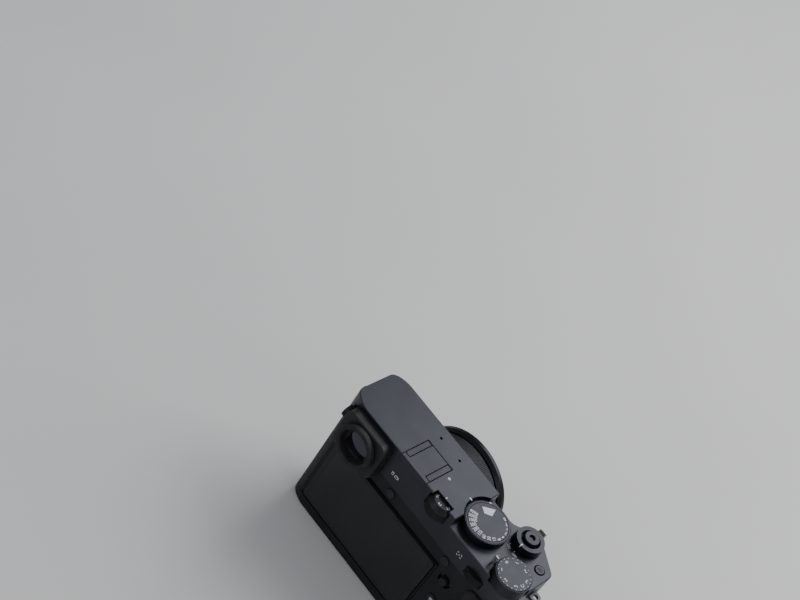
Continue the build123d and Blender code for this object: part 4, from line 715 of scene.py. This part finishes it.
# %% Index marks
SHUTTER_INDEX = (-25.5, 0.6, RAISED_TOP)
POST_TOP = 88.55
POST_CAP = (-57.5, 10.8, 0.0)
POST_CAP_THICK = 0.45
EXPOSURE_INDEX = (-57.6, 10.1, POST_TOP)
ASPECT_INDEX = (-19.0, 13.2, RAISED_TOP)
SENSOR_PLANE = (-10.9, 3.4, RAISED_TOP)
bar = plate(capsule(1.9, 0.55), surface_frame(SHUTTER_INDEX, *FROM_BEHIND))
piece("shutter_index", bar, white_paint, "camera")
cap = plate(capsule(3.4, 2.3), surface_frame(POST_CAP, (0, 1, 0), (-1, 0, 0)), POST_TOP - POST_CAP_THICK, POST_TOP)
piece("exposure_index_cap", cap, black_alloy, "camera")
bar = plate(capsule(2.0, 0.6), surface_frame(EXPOSURE_INDEX, *FROM_BEHIND))
piece("exposure_index", bar, white_paint, "camera")
bar = plate(capsule(1.1, 0.5), surface_frame(ASPECT_INDEX, (0, -1, 0), (1, 0, 0)))
piece("aspect_index", bar, white_paint, "camera")
here = surface_frame(SENSOR_PLANE, *FROM_BEHIND)
plane_mark = [plate(circle(0.75), here, hole=circle(0.52)), plate(capsule(2.2, 0.24), here)]
piece("sensor_plane_mark", plane_mark, white_paint, "camera")
print("index marks placed")

# %% Power switch
OFF_AT, ON_AT = 88.0, 58.0
LEVER_TOP = ends("power_lever", Z)[1]
TICK_RADIUS = 7.2
TICK_SIDE = (RELEASE[0] + 0.28, RELEASE[1] + 7.99, LEVER_TOP - 0.75)
PAD = (RELEASE[0], RELEASE[1] - 9.6, 0.0)
PAD_LOW, PAD_HIGH = 87.6, 88.05
STOP_DOT, STOP_RADIUS = 0.32, 9.3
SWITCH_TALL, SWITCH_NARROW = 1.5, 0.9
OFF_WORD = surface_frame((-60.0, -4.1, DECK), *FROM_BEHIND)
ON_WORD = surface_frame((-54.7, -5.3, DECK), (-0.87, 0.5, 0), (-0.5, -0.87, 0))
tick = plate(capsule(1.5, 0.55), round_the_dial(RELEASE, LEVER_TOP, OFF_AT, TICK_RADIUS))
side = plate(capsule(1.6, 0.55), surface_frame(TICK_SIDE, (0, 0, 1), (-1, 0, 0)))
piece("power_lever_mark", [tick, side], white_paint, "power_lever")
pad = plate(capsule(3.6, 2.6), surface_frame(PAD, *FROM_ABOVE), PAD_LOW, PAD_HIGH)
piece("power_lever_pad", pad, rubber, "power_lever")
switch_marks = [plate(circle(STOP_DOT, 16), round_the_dial(RELEASE, DECK, angle, STOP_RADIUS))
                for angle in (OFF_AT, ON_AT)]
switch_marks += [written("OFF", SWITCH_TALL, OFF_WORD, SWITCH_NARROW),
                 written("ON", SWITCH_TALL, ON_WORD, SWITCH_NARROW)]
piece("power_switch_words", switch_marks, white_paint, "camera")
print("switch words placed")

# %% Aspect ratios and the top button's mark
RATIOS = ("4:3", "3:2", "16:9", "1:1", "5:4", "7:6")
FIRST_RATIO = 90.0
RATIO_RADIUS = 4.9
RATIO_TALL, RATIO_NARROW = 1.4, 0.9
ratio_marks = []
for k, words in enumerate(RATIOS):
    angle = FIRST_RATIO + k * 360.0 / len(RATIOS)
    here = round_the_dial(ASPECT, ends("aspect_dial", Z)[1], angle, RATIO_RADIUS, False)
    ratio_marks.append(written(words, RATIO_TALL, here, RATIO_NARROW))
piece("aspect_dial_ratios", ratio_marks, white_paint, "aspect_dial")
here = surface_frame((*TOP_BUTTON, ends("top_button", Z)[1]), (1, 0.1, 0), (-0.1, 1, 0))
button_mark = [plate(capsule(3.2, 1.6), here, hole=capsule(2.8, 1.2)), plate(capsule(2.2, 0.28), here)]
piece("top_button_mark", button_mark, dark_print_and_gap_shade, "top_button")
print("ratios:", len(RATIOS))

# %% [markdown]
# ## Gaps round the accessory shoe
#
# The shoe's rails sit in the raised top with a narrow gap round them, and the sliding cover between them is
# flush. The solids leave no gap, so the shade in it is painted: dark strips half a millimetre wide along
# each rail's outline, with the rail's rounded rear corners, across the rails' front and along the cover's sides.

# %% Shoe gaps
SHOE_X = middle("shoe_rails", X)[0]
SHOE_FRONT, SHOE_REAR = ends("shoe_rails", Y)
LIP_INNER = 6.25
LIP_OUTER = ends("shoe_rails", X)[1] - SHOE_X
GAP = 0.5
CORNER, GAP_CORNER = 0.9, 0.7
COVER_LINE_START, COVER_LINE_SHORT = 0.1, 0.05
LINE_LOW, LINE_HIGH = RAISED_TOP - 0.02, RAISED_TOP + 0.015


def rail_outline(side, inset, corner):
    # One rail seen from above, drawn in by an inset: square at the front, rounded at its two rear corners
    inner, outer = LIP_INNER + inset, LIP_OUTER - inset
    rear, front = SHOE_REAR - inset, SHOE_FRONT + inset
    outline = [(inner, front), (outer, front)]
    for corner_x, start in ((outer - corner, 0.0), (inner + corner, 90.0)):
        outline += [(corner_x + corner * math.cos(math.radians(start + 15 * k)),
                     rear - corner + corner * math.sin(math.radians(start + 15 * k))) for k in range(7)]
    return [(SHOE_X + side * x, y) for x, y in outline]


def strip(x_low, x_high, y_low, y_high):
    outline = [(x_low, y_low), (x_high, y_low), (x_high, y_high), (x_low, y_high)]
    return plate(outline, AS_BUILT, LINE_LOW, LINE_HIGH)


# Painted shade: dark strips where the gaps round the rails and beside the cover would lie in shadow
gap_shade_strips = [plate(rail_outline(side, 0.0, CORNER), AS_BUILT, LINE_LOW, LINE_HIGH,
                    hole=rail_outline(side, GAP, GAP_CORNER)) for side in (-1, 1)]
gap_shade_strips.append(strip(SHOE_X - LIP_OUTER, SHOE_X + LIP_OUTER, SHOE_FRONT - GAP, SHOE_FRONT))
cover_lines = [SHOE_X + side * (LIP_OUTER - GAP / 2) for side in (-1, 1)]
cover_gap_shade_strips = [strip(x - GAP / 2, x + GAP / 2, SHOE_REAR + COVER_LINE_START, REAR_FACE - COVER_LINE_SHORT)
                for x in cover_lines]
piece("shoe_cover_gap_lines", cover_gap_shade_strips, dark_print_and_gap_shade, "shoe_cover")
piece("shoe_gap_lines", gap_shade_strips, dark_print_and_gap_shade, "camera")
print("shoe gap lines:", len(gap_shade_strips))

# %% [markdown]
# ## Signs on the rear buttons
#
# The rear carries small white line signs: stacked frames and a bin above the drive button, a focus frame
# above the lock button, and three bars, an outline triangle and an arrow on the lower three. They are thin
# plates cut to simple outlines.

# %% Rear signs
DRIVE_SIGN = (8.7, 75.1)
FOCUS_SIGN = (-43.8, 75.5)


def box_outline(w, h, cx=0.0, cy=0.0):
    return [(cx - w / 2, cy - h / 2), (cx + w / 2, cy - h / 2), (cx + w / 2, cy + h / 2), (cx - w / 2, cy + h / 2)]


def sign(name, shapes, place=None):
    # At this place on the rear of the body, or in the middle of the button's own face
    x, z = place or middle(name, X, Z)
    y = REAR_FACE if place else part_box(name)[1][Y] / MM
    here = surface_frame((x, y, z), (-1, 0, 0), (0, 0, 1))
    plates = [plate(outline, here, hole=hole) for outline, hole in shapes]
    piece(name + "_sign", plates, white_paint, "camera" if place else name)


sign("drive", [
    (box_outline(2.2, 1.5, 1.3, -0.3), box_outline(1.8, 1.1, 1.3, -0.3)),
    (box_outline(2.2, 0.22, 1.75, 0.75), None), (box_outline(0.22, 1.6, 2.75, 0.05), None),
    (box_outline(1.3, 1.6, -1.5, -0.3), box_outline(0.9, 1.2, -1.5, -0.3)),
    (box_outline(1.9, 0.24, -1.5, 0.75), None)], DRIVE_SIGN)
bracket = [(box_outline(0.9, 0.26, x, y), None) for x in (-1.2, 1.2) for y in (-1.2, 1.2)]
bracket += [(box_outline(0.26, 0.9, x * 1.52, y * 0.73), None) for x in (-1, 1) for y in (-1.2, 1.2)]
sign("focus_frame", bracket + [(circle(0.34, 16), None)], FOCUS_SIGN)
sign("menu_button", [(box_outline(2.2, 0.28, 0, h), None) for h in (-0.75, 0.0, 0.75)])
sign("playback_button", [([(-0.8, -1.1), (1.1, 0.0), (-0.8, 1.1)], [(-0.5, -0.62), (0.55, 0.0), (-0.5, 0.62)])])
sign("back_button", [([(-1.2, 0.0), (-0.3, -0.75), (-0.3, 0.75)], None), (box_outline(1.6, 0.3, 0.4, 0), None)])
print("rear signs placed")

# %% [markdown]
# ## Lens rings
#
# The three lens rings are turned bands with close axial ribs for the fingers, about two hundred round each.
# The band is a profile spun round the lens axis. The ribs are one slim rounded bar repeated round it by
# Geometry Nodes, sunk to half its width, with the count, size and place open as inputs.

# %% Spun bands and their ribs
def spun(name, profile, sides=192):
    # A closed profile of (radius, height) points, spun round the Z axis at the origin
    shape = bmesh.new()
    loops = [loop_of(shape, circle(r, sides), z) for r, z in profile]
    for first, second in zip(loops, loops[1:] + loops[:1]):
        wall(shape, first, second)
    return mesh_of(name, shape)


RIB_COUNT = 200
RIB_RADIUS = 0.3
RING_BORE = 24.6
CHAMFER = 0.25
along_lens = Matrix.Translation((0, BODY_FRONT * MM, LENS_HEIGHT * MM)) @ Matrix.Rotation(math.radians(90), 4, "X")
tree, given = new_tree("ribs_round_a_band", Count="Int", Radius="Float", Rib_Radius="Float",
                       Rib_Length="Float", Middle="Float")
points, turn = ring_of_points(tree, given["Count"], given["Radius"], given["Middle"])
rib = add(tree, "GeometryNodeMeshCylinder", {"Vertices": 8, "Radius": given["Rib Radius"],
                                             "Depth": given["Rib Length"]})
both = add(tree, "GeometryNodeJoinGeometry")
tree.links.new(stand_on(tree, points, rib.outputs["Mesh"], turn), both.inputs[0])
tree.links.new(given["Geometry"], both.inputs[0])
close_tree(tree, given, both.outputs["Geometry"])


def ribbed_ring(node, ribs_tree):
    # A band over the whole solid, with a small chamfer at each end
    name = node + "_ribbed"
    start, end = ahead(node)
    base = ends(node, X)[1] - RIB_RADIUS
    profile = [(RING_BORE, start), (base - CHAMFER, start), (base, start + CHAMFER),
               (base, end - CHAMFER), (base - CHAMFER, end), (RING_BORE, end)]
    mesh = grown(name, spun(name + "_band", profile), ribs_tree,
                 {"Count": RIB_COUNT, "Radius": base * MM, "Rib Radius": RIB_RADIUS * MM,
                  "Rib Length": (end - start - 2 * CHAMFER) * MM, "Middle": (start + end) / 2 * MM,
                  "Finish": lens_finish})
    mesh.transform(along_lens)
    made = piece(name, mesh, lens_finish, node)
    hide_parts(node)
    return made


for node in ("control_ring", "aperture_ring", "focus_ring"):
    made = ribbed_ring(node, tree)
    print(made.name, "from", ahead(node), "triangles about", len(made.data.polygons) * 2)

# %% [markdown]
# ## Front glass
#
# The front element is flat behind and part of a sphere in front. A CAD solid's sphere comes as loose
# triangles, and each of them would show in a reflection, so the glass is built again on the same sizes:
# rings of points on the sphere, shaded smooth, with a sharp edge at the rim and its two poles closed. From
# outside, a lens looks dark and deep: a black pupil, the thin bright edges of the inner glasses round it,
# and a purple reflection. The glass lets no light through, and a colour ramp over the distance from the
# lens axis paints the depth in: painted shade for the pupil and the inner glasses, and painted highlights
# for their thin bright edges.

# %% Front glass finish
GLASS_RADIUS = ends("front_glass", X)[1]
# Painted shade and painted highlights: black for the pupil and the deep inner glasses, paler thin rings for their lit
# edges
PAINTED_DEPTH_RINGS = ((0.0, (0.001, 0.001, 0.0015)), (5.4, (0.001, 0.001, 0.0015)), (5.7, (0.022, 0.02, 0.034)),
               (6.1, (0.005, 0.004, 0.009)), (9.2, (0.006, 0.006, 0.01)), (9.4, (0.016, 0.02, 0.023)),
               (9.7, (0.003, 0.003, 0.004)), (12.4, (0.002, 0.002, 0.003)))
front_glass, tree, shader = new_finish("coated_front_glass_painted_depth", Specular_IOR_Level=0.45,
                                       Specular_Tint=(0.7, 0.6, 1.0, 1), Coat_Weight=0.2)
where = place_of(tree, centre=LENS_AXIS)
across = add(tree, "ShaderNodeVectorMath", {0: where, 1: (1, 0, 1)}, operation="MULTIPLY").outputs["Vector"]
away = add(tree, "ShaderNodeVectorMath", {0: across}, operation="LENGTH").outputs["Value"]
ramp = add(tree, "ShaderNodeValToRGB", {"Fac": maths(tree, "MULTIPLY", away, 1 / (GLASS_RADIUS * MM))})
while len(ramp.color_ramp.elements) < len(PAINTED_DEPTH_RINGS):
    ramp.color_ramp.elements.new(0.5)
# A stop that moves past another changes the order, so the places are set before the colours
for stop, (r, colour) in zip(ramp.color_ramp.elements, PAINTED_DEPTH_RINGS):
    stop.position = r / GLASS_RADIUS
for stop, (r, colour) in zip(ramp.color_ramp.elements, PAINTED_DEPTH_RINGS):
    stop.color = (*colour, 1)
tree.links.new(ramp.outputs["Color"], shader.inputs["Base Color"])
dull(tree, shader, grain(tree, where, 5.0), 0.02, 0.05)
print("rings seen in the glass:", [r for r, colour in PAINTED_DEPTH_RINGS])

# %% Front glass
GLASS_BACK, GLASS_FRONT = ahead("front_glass")
GLASS_CROWN = 1.0
GLASS_RINGS, GLASS_SIDES = 20, 128


def domed_glass(name, radius, back, edge, crown):
    bend = (radius ** 2 + crown ** 2) / (2 * crown)
    profile = [(radius, back)]
    for k in range(GLASS_RINGS):
        r = radius * (1 - k / GLASS_RINGS)
        profile.append((r, edge + math.sqrt(bend ** 2 - r ** 2) - (bend - crown)))
    shape = bmesh.new()
    loops = [loop_of(shape, circle(r, GLASS_SIDES), z) for r, z in profile]
    back_pole = shape.verts.new((0, 0, back * MM))
    front_pole = shape.verts.new((0, 0, (edge + crown) * MM))
    for k in range(GLASS_SIDES):
        n = (k + 1) % GLASS_SIDES
        shape.faces.new((loops[0][n], loops[0][k], back_pole))
        for first, second in zip(loops, loops[1:]):
            shape.faces.new((first[k], first[n], second[n], second[k])).smooth = first is not loops[0]
        shape.faces.new((loops[-1][k], loops[-1][n], front_pole)).smooth = True
        shape.edges.get((loops[1][k], loops[1][n])).smooth = False
    return mesh_of(name, shape)


mesh = domed_glass("front_lens_glass", GLASS_RADIUS, GLASS_BACK, GLASS_FRONT - GLASS_CROWN, GLASS_CROWN)
mesh.transform(along_lens)
made = piece("front_lens_glass", mesh, front_glass, "camera")
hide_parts("front_glass")
print("front glass", 2 * GLASS_RADIUS, "mm across, crown", GLASS_CROWN, "mm")

# %% [markdown]
# ## Inside the front of the lens
#
# Round the front glass the ring steps down in fine grooves that catch stray light. Behind the glass sits
# the iris: nine thin leaves that overlap like a fan round a nine-sided hole. One curved leaf is drawn, and
# Geometry Nodes repeats it round the axis, each leaf leaning a little over its neighbour.

# %% Stepped light trap and filter thread
TRAP_STEPS = 9
TRAP_INNER, TRAP_OUTER = 12.8, 23.9
TRAP_FLOOR, TRAP_RISE, TRAP_SUNK = 28.0, 0.2, 0.02
THREAD_START, THREAD_PITCH, THREAD_TURNS = 29.0, 0.75, 3
THREAD_BACK, THREAD_ROOT, THREAD_CREST = 24.46, 24.4, 24.15
tread = (TRAP_OUTER - TRAP_INNER) / TRAP_STEPS
trap = [(TRAP_INNER, TRAP_FLOOR - TRAP_SUNK)]
for k in range(TRAP_STEPS):
    height = TRAP_FLOOR + TRAP_RISE * (k + 1)
    trap += [(TRAP_INNER + tread * k, height), (TRAP_INNER + tread * (k + 1), height)]
trap += [(TRAP_OUTER, TRAP_FLOOR - TRAP_SUNK)]
mesh = spun("front_light_trap", trap, 128)
mesh.transform(along_lens)
piece("front_light_trap", mesh, trap_black, "camera")
thread_end = THREAD_START + THREAD_TURNS * THREAD_PITCH
thread = [(THREAD_BACK, THREAD_START)]
for k in range(THREAD_TURNS):
    thread += [(THREAD_ROOT, THREAD_START + k * THREAD_PITCH),
               (THREAD_CREST, THREAD_START + (k + 0.5) * THREAD_PITCH)]
thread += [(THREAD_ROOT, thread_end), (THREAD_BACK, thread_end)]
mesh = spun("filter_thread_ridges", thread, 160)
mesh.transform(along_lens)
piece("filter_thread_ridges", mesh, front_finish, "camera")
print("light trap steps:", TRAP_STEPS, "thread ridges:", THREAD_TURNS)

# %% Iris leaves
LEAVES = 9
IRIS_HOLE, IRIS_EDGE = 6.0, 22.2
LEAF_HALF = 0.06
LEAF_FROM, LEAF_SWEEP, LEAF_STEPS = -22.0, 88.0, 10
LEAF_OPENING = 2.7
LEAF_LEAN = 0.9
tree, given = new_tree("iris_leaves", Count="Int", Lean="Float")
points, turn = ring_of_points(tree, given["Count"], 0.0, 0.0)
lean = add(tree, "ShaderNodeCombineXYZ", {"X": given["Lean"]}).outputs[0]
leaves = stand_on(tree, points, given["Geometry"], turn)
leaning = add(tree, "GeometryNodeRotateInstances", {"Instances": leaves, "Rotation": lean})
close_tree(tree, given, leaning.outputs["Instances"])
arc = [math.radians(LEAF_FROM + LEAF_SWEEP * k / LEAF_STEPS) for k in range(LEAF_STEPS + 1)]
inner_edge = [(IRIS_HOLE * math.cos(a) + LEAF_OPENING * k / LEAF_STEPS, IRIS_HOLE * math.sin(a))
              for k, a in enumerate(arc)]
outer_edge = [(IRIS_EDGE * math.cos(a), IRIS_EDGE * math.sin(a)) for a in reversed(arc)]
leaf = plate(inner_edge + outer_edge, AS_BUILT, -LEAF_HALF, LEAF_HALF)
mesh = grown("iris_leaves", leaf, tree, {"Count": LEAVES, "Lean": math.radians(LEAF_LEAN), "Finish": black_alloy})
mesh.transform(along_lens @ Matrix.Translation((0, 0, sum(ahead("iris_plate")) / 2 * MM)))
made = piece("iris_leaves", mesh, black_alloy, "camera")
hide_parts("iris_plate")
print("iris leaves:", LEAVES)

# %% [markdown]
# ## The release spring and the case screws
#
# Under the release button sits a small coil spring, which in the real camera shortens as the button goes
# down; here it is built once, at the height of its solid. The base is held by four cross-head screws: one
# head is modelled with its cross cut in, and Geometry Nodes stands it on the four places.

# %% Release spring
SPRING_LOW, SPRING_HIGH = ends("release_spring", Z)
COILS = 4.5
COIL_RADIUS = 4.02
WIRE = 0.24
tree, given = new_tree("coil_spring", Turns="Float", Radius="Float", Height="Float", Wire="Float")
spiral = add(tree, "GeometryNodeCurveSpiral", {"Resolution": 28, "Rotations": given["Turns"],
                                               "Start Radius": given["Radius"],
                                               "End Radius": given["Radius"], "Height": given["Height"]})
section = add(tree, "GeometryNodeCurvePrimitiveCircle", {"Resolution": 8, "Radius": given["Wire"]})
wire = add(tree, "GeometryNodeCurveToMesh", {"Curve": spiral.outputs["Curve"], "Fill Caps": True,
                                             "Profile Curve": section.outputs["Curve"]})
close_tree(tree, given, wire.outputs["Mesh"])
mesh = grown("release_coil", bpy.data.meshes.new("release_coil"), tree,
             {"Turns": COILS, "Radius": COIL_RADIUS * MM, "Height": (SPRING_HIGH - SPRING_LOW - 2 * WIRE) * MM,
              "Wire": WIRE * MM, "Finish": bright_steel})
mesh.transform(Matrix.Translation(Vector((*RELEASE, SPRING_LOW + WIRE)) * MM))
coil = piece("release_coil", mesh, bright_steel, "camera")
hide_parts("release_spring")
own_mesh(coil)
print("spring turns", COILS, "wire", 2 * WIRE, "mm")

# %% Case screws
SCREWS = ((39.0, 3.0), (39.0, -10.5), (-32.8, 3.0), (-32.8, -10.5))
HEAD_RADIUS, HEAD_TALL = 1.6, 0.8
EDGE_SHARE, EDGE_TALL = 0.93, 0.12
SHANK_SHARE = 0.5
CROSS_ARM, CROSS_HALF, CROSS_DEPTH = 0.95, 0.22, 0.5
CROSS_TAPER = 0.7


def scaled(outline, share):
    return [(x * share, y * share) for x, y in outline]


def screw_mesh(low, high):
    # Head downwards at its lowest point, with a cross recess, and a plain shank above
    shape = bmesh.new()
    rim = circle(HEAD_RADIUS)
    a, h = CROSS_ARM, CROSS_HALF
    cross = [(a, -h), (a, h), (h, h), (h, a), (-h, a), (-h, h), (-a, h), (-a, -h), (-h, -h), (-h, -a), (h, -a), (h, -h)]
    outside = [loop_of(shape, scaled(rim, share), z) for share, z in (
        (EDGE_SHARE, low), (1.0, low + EDGE_TALL), (1.0, low + HEAD_TALL), (SHANK_SHARE, low + HEAD_TALL),
        (SHANK_SHARE, high))]
    recess = [loop_of(shape, cross, low), loop_of(shape, scaled(cross, CROSS_TAPER), low + CROSS_DEPTH)]
    for loops in (outside, recess):
        for first, second in zip(loops, loops[1:]):
            wall(shape, first, second)
        shape.faces.new(loops[-1])
    flat = [shape.edges.get((ring[k], ring[(k + 1) % len(ring)])) for ring in (outside[0], recess[0])
            for k in range(len(ring))]
    bmesh.ops.triangle_fill(shape, edges=flat, use_beauty=True)
    return mesh_of("cross_head_screw", shape)


places = bpy.data.meshes.new("screw_places")
places.from_pydata([(x * MM, y * MM, 0) for x, y in SCREWS], [], [])
head = new_object("cross_head_screw", screw_mesh(*ends("case_screws", Z)))
tree, given = new_tree("screws_on_places", Screw="Object")
info = add(tree, "GeometryNodeObjectInfo", {"Object": given["Screw"]})
spots = add(tree, "GeometryNodeMeshToPoints", {"Mesh": given["Geometry"]})
turned_by = add(tree, "FunctionNodeRandomValue", {"Max": (0.0, 0.0, math.pi / 2), "Seed": 7},
                data_type="FLOAT_VECTOR")
close_tree(tree, given, stand_on(tree, spots.outputs["Points"], info.outputs["Geometry"], turned_by.outputs[0]))
mesh = grown("case_screw_set", places, tree, {"Screw": head, "Finish": black_steel})
bpy.data.objects.remove(head)
made = piece("case_screw_set", mesh, black_steel, "camera")
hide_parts("case_screws")
print("screws:", len(SCREWS), "from", ends("case_screws", Z))

# %% [markdown]
# ## Floor and light
#
# A plain pale floor and three large soft panels: the main one high in front, a weaker one high behind, and a
# small one low at the grip end to draw the edges. A dim even sky fills the rest. Large soft lights suit
# anodised metal, because what is seen on it is the reflection of the light itself: a big soft panel gives an
# even, gentle gradient on the top.

# %% Floor and lights
FLOOR_REACH = 3.0
FLOOR_DROP = 0.0002
SKY_COLOUR = (0.9, 0.93, 1.0, 1)
SKY_STRENGTH = 0.36
AIM = (0.0, 0.0, 0.05)
floor_finish, tree, shader = new_finish("pale_studio_floor", Roughness=0.8)
shade(tree, shader, grain(tree, place_of(tree), 220.0), (0.6, 0.6, 0.6), (0.63, 0.63, 0.63))
floor_mesh = bpy.data.meshes.new("studio_floor")
corners = [(x, y, 0) for x, y in box_outline(2 * FLOOR_REACH, 2 * FLOOR_REACH)]
floor_mesh.from_pydata(corners, [], [(0, 1, 2, 3)])
floor_mesh.materials.append(floor_finish)
studio_floor = new_object("studio_floor", floor_mesh)
studio_floor.location.z = cad_box[0][Z] - FLOOR_DROP


def soft_panel(name, place, size, power):
    data = bpy.data.lights.new(name, "AREA")
    data.shape = "RECTANGLE"
    data.size, data.size_y = size
    data.energy = power
    panel = new_object(name, data)
    panel.location = place
    panel.rotation_euler = (Vector(AIM) - Vector(place)).to_track_quat("-Z", "Y").to_euler()


soft_panel("main_panel", place=(-0.3, -0.85, 0.95), size=(1.3, 0.9), power=17.0)
soft_panel("rear_panel", place=(0.5, 1.0, 0.9), size=(0.7, 0.5), power=3.0)
soft_panel("edge_panel", place=(-0.9, 0.2, 0.5), size=(0.4, 0.6), power=1.2)
world = bpy.data.worlds.new("studio_sky")
bpy.context.scene.world = world
world.use_nodes = True
world.node_tree.nodes["Background"].inputs["Color"].default_value = SKY_COLOUR
world.node_tree.nodes["Background"].inputs["Strength"].default_value = SKY_STRENGTH
print("floor at z", round(studio_floor.location.z, 4))
